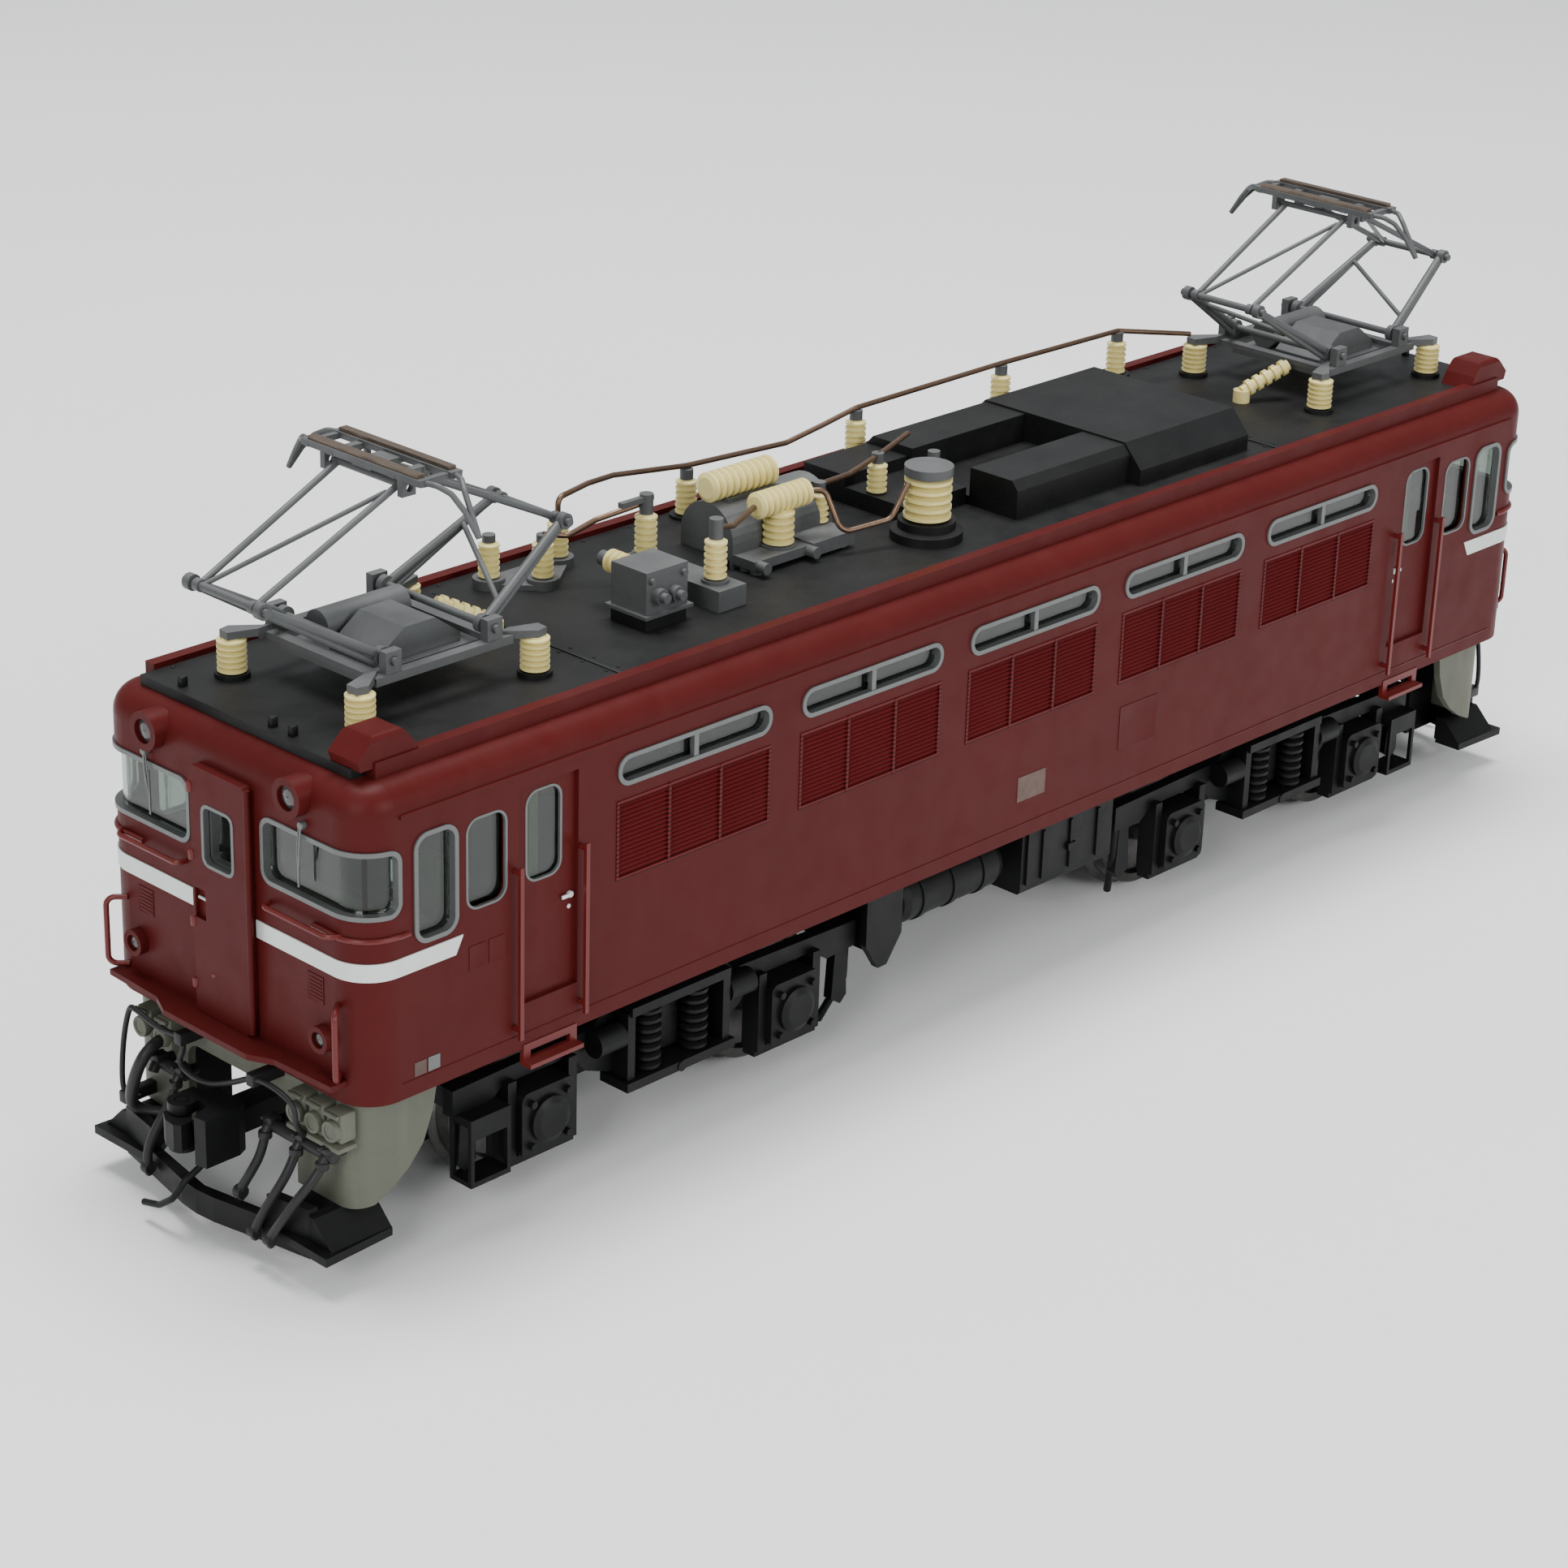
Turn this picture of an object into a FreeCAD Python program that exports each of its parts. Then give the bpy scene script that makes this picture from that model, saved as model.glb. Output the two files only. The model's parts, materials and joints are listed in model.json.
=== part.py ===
import FreeCAD, Part
import Sketcher
import math
import os

from FreeCAD import Rotation, Vector

# Model electric locomotive, scale 1:80 on 16.5 mm track.
# Frame: X along the train, near cab at -X; Y across; Z up, 0 under the wheel flanges.
# Lengths are millimetres. Both ends and both sides are mirror images unless a comment says so.

doc = FreeCAD.newDocument("model_electric_locomotive")
sheet = doc.addObject("Spreadsheet::Sheet", "dims")

SIZES = {
    # body
    "body_length": 166.2, "body_width": 35.0, "sill": 17.0, "gutter": 45.4,
    "corner_round": 3.6, "eave_round": 2.6, "shell_wall": 1.0,
    "curb_inner": 13.9, "curb_outer": 15.1, "curb_top": 46.8, "roof_top": 46.3,
    "window_pitch": 22.7, "window_width": 18.8, "window_tall": 2.9, "window_mid": 39.6,
    "frame_wide": 0.42, "frame_proud": 0.18, "frame_deep": 0.55,
    "glass_front": 0.55, "glass_back": 0.95,
    "louvre_width": 18.9, "louvre_low": 29.4, "louvre_high": 36.9, "louvre_pitch": 0.42,
    "door_near": 59.3, "door_far": 66.1, "door_low": 21.3, "door_high": 41.3,
    "rail_out": 18.45, "rail_thick": 0.42,
    # running gear
    "bogie_centre": 44.8, "half_wheelbase": 15.625, "axle_height": 7.6,
    "tread_radius": 7.0, "flange_radius": 7.6, "back_to_back": 14.4,
    "axle_radius": 1.0, "gear_width": 2.4, "gear_module": 0.5,
    "centre_gear_height": 18.0, "worm_height": 24.85, "worm_radius": 1.55,
    "collar_radius": 9.0, "collar_gap": 0.08, "floor_low": 18.4, "floor_high": 21.2,
    "motor_radius": 7.4, "motor_half": 13.0, "flywheel_radius": 6.3,
    # current collectors
    "panto_centre": 65.7, "pivot_height": 51.4, "pivot_offset": 5.6,
    "lower_arm": 12.6, "upper_arm": 16.8, "head_offset": 1.4, "rest_angle": 29.4,
    "arm_half_pivot": 6.3, "arm_half_knee": 4.3, "shaft_radius": 0.36, "bore_gap": 0.05,
    # coupler
    "coupler_pivot": 74.5, "coupler_height": 10.1,
}
for row, (alias, value) in enumerate(SIZES.items(), start=1):
    sheet.set(f"A{row}", alias.replace("_", " "))
    sheet.set(f"B{row}", str(value))
    sheet.setAlias(f"B{row}", alias)
doc.recompute()

ENDS = (-1, 1)
SIDES = (-1, 1)
AXES = {"x": Vector(1, 0, 0), "y": Vector(0, 1, 0), "z": Vector(0, 0, 1)}
# turns a cylinder that stands on Z so that it lies along the named axis
LAY = {"x": Rotation(Vector(0, 1, 0), 90), "y": Rotation(Vector(1, 0, 0), -90), "z": Rotation()}
nodes = []


def size(alias):
    """The value of one cell of the sheet."""
    return float(sheet.get(alias))


def expr(value):
    return value if isinstance(value, str) else f"{value:.6f}"


def minus(value):
    return f"-({value})" if isinstance(value, str) else -value


def flip(side, low, high):
    """The span low..high on the positive side, or its mirror image on the negative side."""
    return (low, high) if side > 0 else (minus(high), minus(low))


def about(centre, half):
    """The span centre - half .. centre + half."""
    if isinstance(centre, str) or isinstance(half, str):
        return (f"({expr(centre)}) - ({expr(half)})", f"({expr(centre)}) + ({expr(half)})")
    return (centre - half, centre + half)


def bind_place(obj, x, y, z):
    for letter, value in zip("xyz", (x, y, z)):
        obj.setExpression(f"Placement.Base.{letter}", expr(value))


def block(xs, ys, zs):
    """A box between two values on each axis."""
    obj = doc.addObject("Part::Box", "block")
    for prop, (low, high) in zip(("Length", "Width", "Height"), (xs, ys, zs)):
        obj.setExpression(prop, f"({expr(high)}) - ({expr(low)})")
    bind_place(obj, xs[0], ys[0], zs[0])
    return obj


def along(axis, first, second, third):
    """Orders (value on the axis, the other two) as x, y, z."""
    return {"x": (first, second, third), "y": (second, first, third),
            "z": (second, third, first)}[axis]


def rod(axis, radius, ends, centre):
    """A cylinder along an axis; centre is its place on the other two axes."""
    obj = doc.addObject("Part::Cylinder", "rod")
    obj.Placement.Rotation = LAY[axis]
    obj.setExpression("Radius", expr(radius))
    obj.setExpression("Height", f"({expr(ends[1])}) - ({expr(ends[0])})")
    bind_place(obj, *along(axis, ends[0], *centre))
    return obj


def strut(start, end, radius):
    """A round bar between two points."""
    a, b = Vector(*start), Vector(*end)
    obj = doc.addObject("Part::Cylinder", "strut")
    obj.Radius = radius
    obj.Height = (b - a).Length
    obj.Placement = FreeCAD.Placement(a, Rotation(Vector(0, 0, 1), b - a))
    return obj


def ball(centre, radius):
    obj = doc.addObject("Part::Sphere", "ball")
    obj.Radius = radius
    obj.Placement.Base = Vector(*centre)
    return obj


def bent_bar(points, radius, bend=1.2):
    """A round wire along straight runs joined by tangent arcs of the bend radius."""
    spots = [Vector(*p) for p in points]
    edges, start = [], spots[0]
    for before, here, after in zip(spots, spots[1:], spots[2:]):
        back, ahead = (before - here).normalize(), (after - here).normalize()
        half_turn = (math.pi - back.getAngle(ahead)) / 2
        room = 0.45 * min((before - here).Length, (after - here).Length)
        inset = min(bend * math.tan(half_turn), room)
        arc_radius = inset / math.tan(half_turn)
        to_centre = (back + ahead).normalize()
        centre = here + to_centre * (arc_radius / math.cos(half_turn))
        first, last = here + back * inset, here + ahead * inset
        edges.append(Part.LineSegment(start, first).toShape())
        edges.append(Part.Arc(first, centre - to_centre * arc_radius, last).toShape())
        start = last
    edges.append(Part.LineSegment(start, spots[-1]).toShape())
    ring = Part.Wire(Part.Circle(spots[0], spots[1] - spots[0], radius).toShape())
    obj = doc.addObject("Part::Feature", "bent_bar")
    obj.Shape = Part.Wire(edges).makePipeShell([ring], True, True)
    return obj


def prism(axis, ends, outline):
    """A flat outline, given on the two axes other than the named one, pushed along it."""
    loop = doc.addObject("Part::Polygon", "outline")
    loop.Nodes = [Vector(*along(axis, float(ends[0]), u, v)) for u, v in outline]
    loop.Close = True
    solid = doc.addObject("Part::Extrusion", "prism")
    solid.Base = loop
    solid.DirMode = "Custom"
    solid.Dir = AXES[axis]
    solid.LengthFwd = ends[1] - ends[0]
    solid.Solid = True
    return solid


def turned(axis, centre, profile):
    """A profile of (radius, place along the axis) turned about an axis."""
    loop = doc.addObject("Part::Polygon", "profile")
    loop.Nodes = [Vector(*along(axis, a, centre[0] + r, centre[1])) for r, a in profile]
    loop.Close = True
    solid = doc.addObject("Part::Revolution", "turned")
    solid.Source = loop
    solid.Axis = AXES[axis]
    solid.Base = Vector(*along(axis, 0.0, *centre))
    solid.Angle = 360
    solid.Solid = True
    return solid


def fuse(pieces):
    if len(pieces) == 1:
        return pieces[0]
    obj = doc.addObject("Part::MultiFuse", "fuse")
    obj.Refine = False
    obj.Shapes = pieces
    return obj


def group(pieces):
    """Several separate solids kept together."""
    if len(pieces) == 1:
        return pieces[0]
    obj = doc.addObject("Part::Compound", "group")
    obj.Links = pieces
    return obj


def cut(base, tools):
    obj = doc.addObject("Part::Cut", "cut")
    obj.Refine = False
    obj.Base = base
    obj.Tool = fuse(tools)
    return obj


def common(base, tool):
    obj = doc.addObject("Part::Common", "common")
    obj.Base = base
    obj.Tool = tool
    return obj


def rounded(base, radius, choose):
    """Rounds the edges that choose(edge) picks; radius is a number or an expression's value."""
    base.recompute(True)
    picked = [i for i, edge in enumerate(base.Shape.Edges, start=1) if choose(edge)]
    obj = doc.addObject("Part::Fillet", "rounded")
    obj.Base = base
    obj.Edges = [(i, radius, radius) for i in picked]
    return obj


def parallel(axis):
    """Picks straight edges that run along an axis."""
    def choose(edge):
        if edge.Curve.TypeId != "Part::GeomLine":
            return False
        way = edge.Vertexes[-1].Point - edge.Vertexes[0].Point
        return abs(way.dot(AXES[axis])) > 0.999 * way.Length
    return choose


def at_height(height):
    """Picks edges that lie all at one height."""
    return lambda edge: all(abs(v.Z - height) < 1e-4 for v in edge.Vertexes)


def pillow(axis, radius, xs, ys, zs):
    """A block whose four edges along one axis are rounded."""
    return rounded(block(xs, ys, zs), radius, parallel(axis))


def sketch_loop(body, name, role, offset, corners):
    """A closed sketch on one of the body's own planes, every corner bound to an expression."""
    sketch = body.newObject("Sketcher::SketchObject", name)
    plane = next(f for f in body.Origin.OriginFeatures if f.Role == role)
    sketch.AttachmentSupport = [(plane, "")]
    sketch.MapMode = "FlatFace"
    sketch.setExpression("AttachmentOffset.Base.z", expr(offset))
    places = [(float(u), float(v)) for u, v, _, _ in corners]
    count = len(places)
    for i in range(count):
        a, b = places[i], places[(i + 1) % count]
        sketch.addGeometry(Part.LineSegment(Vector(a[0], a[1], 0), Vector(b[0], b[1], 0)), False)
    for i in range(count):
        sketch.addConstraint(Sketcher.Constraint("Coincident", i, 2, (i + 1) % count, 1))
    for i, (u, v, u_expr, v_expr) in enumerate(corners):
        for kind, value, bound in (("DistanceX", u, u_expr), ("DistanceY", v, v_expr)):
            spot = sketch.addConstraint(Sketcher.Constraint(kind, -1, 1, i, 1, float(value)))
            sketch.renameConstraint(spot, f"{kind}{i}")
            sketch.setExpression(f"Constraints.{kind}{i}", bound)
    return sketch


def corner(u, v):
    """A sketch corner from two expressions of sheet cells, with their present values."""
    def value(text):
        words = {alias: size(alias) for alias in SIZES}
        for alias in sorted(words, key=len, reverse=True):
            text = text.replace(f"dims.{alias}", repr(words[alias]))
        return float(FreeCAD.Units.Quantity(text).Value)
    return (value(expr(u)), value(expr(v)), expr(u), expr(v))


def padded_body(name, role, offset, corners, length):
    """A PartDesign body: one sketch, one pad."""
    body = doc.addObject("PartDesign::Body", name)
    outline = sketch_loop(body, f"{name}_outline", role, offset, corners)
    pad = body.newObject("PartDesign::Pad", f"{name}_pad")
    pad.Profile = outline
    pad.setExpression("Length", expr(length))
    body.Tip = pad
    return body


def rectangle(half_u, half_v):
    """Four sketch corners of a rectangle about the origin."""
    return [corner(minus(half_u), minus(half_v)), corner(half_u, minus(half_v)),
            corner(half_u, half_v), corner(minus(half_u), half_v)]


def node(name, obj):
    """Names a finished sub-part."""
    obj.Label = name
    nodes.append(obj)


# ---------------------------------------------------------------- body shell

def body_form(grow):
    """The outer form of the body, grown or shrunk all round by grow."""
    form = block((f"-dims.body_length / 2 - {grow}", f"dims.body_length / 2 + {grow}"),
                 (f"-dims.body_width / 2 - {grow}", f"dims.body_width / 2 + {grow}"),
                 ("dims.sill", f"dims.gutter + {grow}"))
    form = rounded(form, size("corner_round") + grow, parallel("z"))
    return rounded(form, size("eave_round") + grow, at_height(size("gutter") + grow))


FACE = size("body_length") / 2
WALL = size("body_width") / 2
LOUVRE_BACK = WALL - 0.75
OUTSIDE = 6.0
DEEP = 3.0


def side_window(x_low, x_high, z_low, z_high, radius, side):
    return pillow("y", radius, (x_low, x_high), flip(side, WALL - DEEP, WALL + OUTSIDE),
                  (z_low, z_high))


def front_window(end, side, shrink):
    """A windscreen that wraps round the corner, made smaller all round by shrink."""
    zs = (34.0 + shrink, 40.1 - shrink)
    radius = 1.3 - shrink
    ahead = pillow("x", radius, flip(end, FACE - 1.6, FACE + OUTSIDE),
                   flip(side, 4.7 + shrink, WALL + OUTSIDE), zs)
    beside = pillow("y", radius, flip(end, 79.0 + shrink, FACE + OUTSIDE),
                    flip(side, WALL - 1.6, WALL + OUTSIDE), zs)
    return fuse([ahead, beside])


def window_holes(shrink):
    """Every framed window opening, made smaller all round by shrink."""
    holes = []
    half_wide, half_tall = size("window_width") / 2, size("window_tall") / 2
    for side in SIDES:
        for place in range(-2, 3):
            x, z = place * size("window_pitch"), size("window_mid")
            holes.append(side_window(x - half_wide + shrink, x + half_wide - shrink,
                                     z - half_tall + shrink, z + half_tall - shrink,
                                     half_tall - shrink - 0.05, side))
        for end in ENDS:
            low, high = flip(end, 72.9 + shrink, 77.7 - shrink)
            holes.append(side_window(low, high, 30.7 + shrink, 40.7 - shrink,
                                     1.5 - shrink, side))
            holes.append(front_window(end, side, shrink))
    for end in ENDS:
        holes.append(pillow("x", 0.9 - shrink, flip(end, FACE - DEEP, FACE + OUTSIDE),
                            (-2.1 + shrink, 2.1 - shrink), (33.4 + shrink, 39.1 - shrink)))
    return holes


def plain_windows(shrink):
    """Openings without a raised frame: the second cab window and the door's window."""
    holes = []
    for end in ENDS:
        for side in SIDES:
            low, high = flip(end, 67.5 + shrink, 71.9 - shrink)
            holes.append(side_window(low, high, 32.0 + shrink, 40.2 - shrink, 1.1, side))
    return holes


HEAD_LAMP = (9.45, 43.3)
TAIL_LAMP = (12.5, 22.4)


def lamp_places():
    """(end, y, z, lens radius) of each lamp."""
    for end in ENDS:
        for side in SIDES:
            yield end, side * HEAD_LAMP[0], HEAD_LAMP[1], 1.1
            yield end, side * TAIL_LAMP[0], TAIL_LAMP[1], 0.75


def make_shell():
    outer = body_form(0)
    wall = "dims.shell_wall"
    cavity = block((f"-dims.body_length / 2 + {wall}", f"dims.body_length / 2 - {wall}"),
                   (f"-dims.body_width / 2 + {wall}", f"dims.body_width / 2 - {wall}"),
                   ("dims.sill - 1", f"dims.gutter - {wall}"))
    cavity = rounded(cavity, size("corner_round") - size("shell_wall"), parallel("z"))
    added = []
    for side in SIDES:
        added.append(block(("-79.5", "79.5"), flip(side, "dims.curb_inner", "dims.curb_outer"),
                           ("dims.gutter - 0.5", "dims.curb_top")))
        added.append(block(("-dims.body_length / 2 + 4", "dims.body_length / 2 - 4"),
                           flip(side, "dims.body_width / 2 - 0.4", "dims.body_width / 2 + 0.22"),
                           ("42.55", "42.85")))
    for end in ENDS:
        for y, z, radius, proud in ((*HEAD_LAMP, 1.75, 1.15), (*TAIL_LAMP, 1.2, 0.9)):
            added += [rod("x", radius, flip(end, FACE - 1.0, FACE + proud), (side * y, z))
                      for side in SIDES]
        added.append(prism("z", (18.7, 19.25), [
            (end * (FACE - 0.5), -15.0), (end * (FACE + 1.6), -15.0), (end * (FACE + 1.9), -8.0),
            (end * (FACE + 3.0), -5.6), (end * (FACE + 3.0), 5.6), (end * (FACE + 1.9), 8.0),
            (end * (FACE + 1.6), 15.0), (end * (FACE - 0.5), 15.0)]))
    holes = window_holes(0) + plain_windows(0)
    for end in ENDS:
        for side in SIDES:
            holes.append(block(flip(end, "dims.door_near", "dims.door_far"),
                               flip(side, WALL - DEEP, WALL + OUTSIDE),
                               ("dims.door_low", "dims.door_high")))
    for side in SIDES:
        for place in range(-2, 3):
            holes.append(block(about(f"{place} * dims.window_pitch", "dims.louvre_width / 2"),
                               flip(side, LOUVRE_BACK, WALL + OUTSIDE),
                               ("dims.louvre_low", "dims.louvre_high")))
    for end, y, z, radius in lamp_places():
        holes.append(rod("x", radius, flip(end, FACE - DEEP, FACE + OUTSIDE), (y, z)))
    shell = cut(fuse([outer] + added), [cavity])
    node("body_shell", cut(shell, holes))


def skin(proud, deep):
    """A layer of the body's wall, from proud outside its surface to deep inside it."""
    return cut(body_form(proud), [body_form(-deep)])


def make_windows():
    band = size("frame_wide")
    rings = common(skin(size("frame_proud"), size("frame_deep")), fuse(window_holes(0)))
    rings = cut(rings, window_holes(band))
    bars = []
    for side in SIDES:
        for place in range(-2, 3):
            bars.append(block(about(f"{place} * dims.window_pitch", 0.28),
                              flip(side, WALL - 0.4, WALL + 0.1),
                              about("dims.window_mid", "dims.window_tall / 2 - 0.2")))
    node("window_frames", fuse([rings] + bars))
    front, back = size("glass_front"), size("glass_back")
    panes = common(skin(-front, back), fuse(window_holes(band) + plain_windows(0)))
    door_panes = []
    for end in ENDS:
        for side in SIDES:
            door_panes.append(pillow("y", 1.1, flip(end, 60.9, 64.9),
                                     flip(side, WALL - 0.95, WALL - 0.75), (32.2, 40.5)))
    node("window_glass", group([panes] + door_panes))


def make_louvres():
    """Each panel is one pressed plate with a sawtooth face, in three bays."""
    low, high, pitch = size("louvre_low"), size("louvre_high"), size("louvre_pitch")
    slats = int((high - low) / pitch)
    panels = []
    for side in SIDES:
        back, deep, proud = side * LOUVRE_BACK, side * (WALL - 0.5), side * (WALL + 0.02)
        for place in range(-2, 3):
            x = place * size("window_pitch")
            half = size("louvre_width") / 2
            outline = [(back, low), (deep, low)]
            for i in range(slats):
                z = low + 0.15 + i * pitch
                outline += [(proud, z), (deep, z + pitch * 0.82)]
            outline += [(deep, high), (back, high)]
            plate = prism("x", (x - half, x + half), outline)
            ribs = [block((x + offset - 0.16, x + offset + 0.16),
                          flip(side, WALL - 0.4, WALL + 0.12), (low, high))
                    for offset in (-half / 3, half / 3)]
            border = cut(block((x - half, x + half), flip(side, WALL - 0.4, WALL + 0.08),
                               (low, high)),
                         [block((x - half + 0.3, x + half - 0.3),
                                flip(side, WALL - 0.5, WALL + 1.0), (low + 0.3, high - 0.3))])
            panels.append(fuse([plate, border] + ribs))
    node("side_louvres", group(panels))


def make_doors():
    leaves = []
    for end in ENDS:
        for side in SIDES:
            leaf = block(flip(end, "dims.door_near", "dims.door_far"),
                         flip(side, WALL - 1.0, WALL - 0.45), ("dims.door_low", "dims.door_high"))
            opening = side_window(*flip(end, 60.9, 64.9), 32.2, 40.5, 1.1, side)
            leaves.append(cut(leaf, [opening]))
    node("side_doors", group(leaves))
    panels = []
    for end in ENDS:
        leaf = pillow("x", 0.5, flip(end, FACE, FACE + 0.9), (-3.6, 3.6), (19.3, 42.2))
        hinge = rod("z", 0.3, (19.6, 42.0), (end * (FACE + 0.7), -3.75))
        window = pillow("x", 0.9, flip(end, FACE - DEEP, FACE + OUTSIDE), (-2.1, 2.1),
                        (33.4, 39.1))
        grip = block(flip(end, FACE + 0.45, FACE + 2), flip(-end, 1.9, 3.3), (28.2, 31.0))
        panels.append(cut(fuse([leaf, hinge]), [window, grip]))
    node("gangway_doors", group(panels))


def make_handrails():
    """Door handrails, front grab rails, corner rails and door steps."""
    thick, out = size("rail_thick"), size("rail_out")
    rails = []
    for end in ENDS:
        for side in SIDES:
            for x in (59.0, 66.55):
                bar = block(flip(end, x - thick / 2, x + thick / 2),
                            flip(side, out - 0.35, out), (18.5, 34.6))
                posts = [block(flip(end, x - thick / 2, x + thick / 2),
                               flip(side, WALL, out - 0.1), (z, z + 0.4)) for z in (19.2, 33.9)]
                rails.append(fuse([bar] + posts))
            step = block(flip(end, 59.4, 65.6), flip(side, WALL - 0.4, WALL + 1.0), (15.4, 15.8))
            hanger = block(flip(end, 59.4, 65.6), flip(side, WALL - 0.4, WALL + 0.1),
                           (15.4, 17.4))
            rails.append(cut(fuse([step, hanger]),
                             [block(flip(end, 60.2, 64.8), flip(side, WALL - 2, WALL + 2),
                                    (15.9, 16.7))]))
            x = end * (FACE + 1.4)
            grab = [(end * FACE, side * 5.6, 32.3), (end * (FACE + 0.9), side * 5.8, 32.3),
                    (end * (FACE + 0.9), side * 13.9, 32.3), (end * (FACE - 0.2), side * 14.6, 32.3)]
            rails.append(bent_bar(grab, 0.24))
            post = [(end * FACE, side * 15.2 * 0.93, 26.0), (x, side * 15.4, 26.0),
                    (x, side * 15.4, 19.6), (end * FACE, side * 14.2, 19.6)]
            rails.append(bent_bar(post, 0.26))
    node("handrails", cut(group(rails), [body_form(0.0)]))


def make_lamps():
    lenses = []
    for end, y, z, radius in lamp_places():
        rim = 1.0 if radius > 1 else 0.75
        profile = [(0, end * (FACE - 1.6)), (radius, end * (FACE - 1.6)),
                   (radius, end * (FACE + rim - 0.35)), (radius * 0.6, end * (FACE + rim - 0.1)),
                   (0, end * (FACE + rim))]
        lenses.append(turned("x", (y, z), profile))
    node("lamp_lenses", group(lenses))


def make_roof():
    """The black roof sheet with its insulator pads, and the ventilator housings on it."""
    sheet_part = padded_body("roof_sheet", "XY_Plane", "dims.gutter",
                             rectangle("81", "dims.curb_inner - 0.05"),
                             "dims.roof_top - dims.gutter")
    top = size("roof_top")
    pads = [rod("z", 1.55, (top - 0.2, top + 0.45), (x, y)) for x, y in PANTO_FEET]
    pads += [rod("z", 1.6, (top - 0.2, z), (x, y)) for x, y, z in BUS_FEET]
    node("roof_panel", fuse([sheet_part] + pads))
    bevel = 2.2
    wing = [(0.0, top), (9.9, top), (9.9, 49.2), (9.1, 50.1), (3.8, 50.1), (3.8, top + 0.9),
            (0.0, top + 0.9)]
    vents = [fuse([prism("x", (5.4, 22.4), [(side * y, z) for y, z in wing])
                   for side in SIDES])]
    wide = [(-11.4, top), (11.4, top), (11.4, 47.9), (11.4 - bevel, 50.3), (bevel - 11.4, 50.3),
            (-11.4, 47.9)]
    vents.append(prism("x", (22.4, 39.8), wide))
    vents.append(block((-3.6, 5.4), (-3.4, 4.4), (top, top + 1.7)))
    vents.append(block((-3.6, 5.4), (4.4, 9.9), (top, top + 2.9)))
    vents.append(turned("z", BUSHING, [(0, top), (3.5, top), (3.5, top + 0.9), (2.8, top + 1.1),
                                       (2.8, top + 1.9), (0, top + 1.9)]))
    vents.append(block((-28.2, -24.9), (-1.0, 5.2), (top, top + 0.8)))
    vents.append(block((-42.0, -37.0), (-7.6, -3.1), (top, top + 1.2)))
    # the bus post beside the wide housing stands in a round notch
    node("roof_ventilators", cut(fuse(vents), [rod("z", 1.63, (46.0, 51.5), (28.0, BUS_Y))]))


def make_whistle_covers():
    covers = []
    for end in ENDS:
        top = 49.0
        outline = [(end * 74.4, size("roof_top")), (end * 80.9, size("roof_top")),
                   (end * 81.2, 47.2), (end * 79.4, top), (end * 76.4, top), (end * 75.2, 47.6)]
        body = prism("y", (-14.9, -11.2), outline)
        curb = block(flip(end, 70.0, 79.5), (-15.1, -13.9), (45.0, "dims.curb_top"))
        covers.append(cut(rounded(body, 0.55, at_height(top)), [curb]))
    node("whistle_covers", group(covers))


# ---------------------------------------------------------------- roof gear

PANTO_FEET = [(end * size("panto_centre") + offset, side * 8.4)
              for end in ENDS for side in SIDES for offset in (-9.7, 9.7)]
BUS_Y = 12.0
BUS_FEET = [(-17.7, BUS_Y, 46.6), (6.0, BUS_Y, 47.5), (28.0, BUS_Y, 47.7), (46.9, BUS_Y, 47.6)]
SWITCH_FEET = [(-44.6, 10.2), (-40.9, 7.0), (-36.1, 10.2)]
BAR_FEET = [(-32.1, -6.3), (-32.1, 2.7)]
BUSHING = (-4.7, -7.3)
BREAKER = (-19.7, -2.2)
LINK_FEET = [(-12.6, -0.6, 47.9), (-2.3, 1.4, 48.0), (2.2, -1.8, 48.0)]


WIRES = [
    [(-36.1, 10.2, 51.2), (-36.1, 10.2, 52.8), (-31.6, 11.0, 53.0), (-27.4, BUS_Y, 52.6),
     (-17.7, BUS_Y, 51.4), (-4.0, BUS_Y, 50.7), (1.0, BUS_Y, 51.4), (6.0, BUS_Y, 52.2),
     (28.0, BUS_Y, 52.4), (46.9, BUS_Y, 52.2), (55.8, 9.1, 50.8)],
    [(-40.9, 7.0, 51.3), (-38.6, 6.2, 50.8), (-36.4, 4.8, 52.2), (-32.5, 3.2, 53.2)],
    [(-32.1, -6.3, 53.4), (-28.2, -4.6, 52.2), (-23.2, -2.3, 52.2)],
    [(-15.9, -2.3, 52.2), (-14.6, -3.2, 52.2), (-14.3, -5.2, 48.4), (-9.0, -6.6, 48.9),
     (-7.2, -7.0, 52.2)],
    [(-12.6, -0.6, 51.6), (-7.5, 0.4, 51.2), (-2.3, 1.4, 51.7), (3.6, 2.9, 52.3)],
]


def insulator(axis, centre, start, length, radius, ribs, core=0.64):
    """A ribbed ceramic post: rounded sheds on a thinner core."""
    step = length / ribs
    profile = [(0, start)]
    for i in range(ribs):
        a = start + i * step
        profile += [(radius * core, a), (radius, a + 0.28 * step), (radius, a + 0.62 * step),
                    (radius * core, a + 0.9 * step)]
    profile += [(radius * core, start + length), (0, start + length)]
    return turned(axis, centre, profile)


def drive_rod(end, top):
    """The ribbed rod that leans from the roof up to one current collector."""
    def on_rod(t):
        return (end * (52.4 + 4.8 * t), end * (-0.9 - 2.2 * t), 47.4 + 2.5 * t)

    collars = [strut(on_rod(t), on_rod(t + 0.09), 0.85) for t in (0.12, 0.3, 0.48, 0.66, 0.84)]
    foot = rod("z", 0.9, (top, 47.6), (end * 52.4, end * -0.9))
    return fuse(collars + [strut(on_rod(0), on_rod(1), 0.6), foot])


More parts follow.
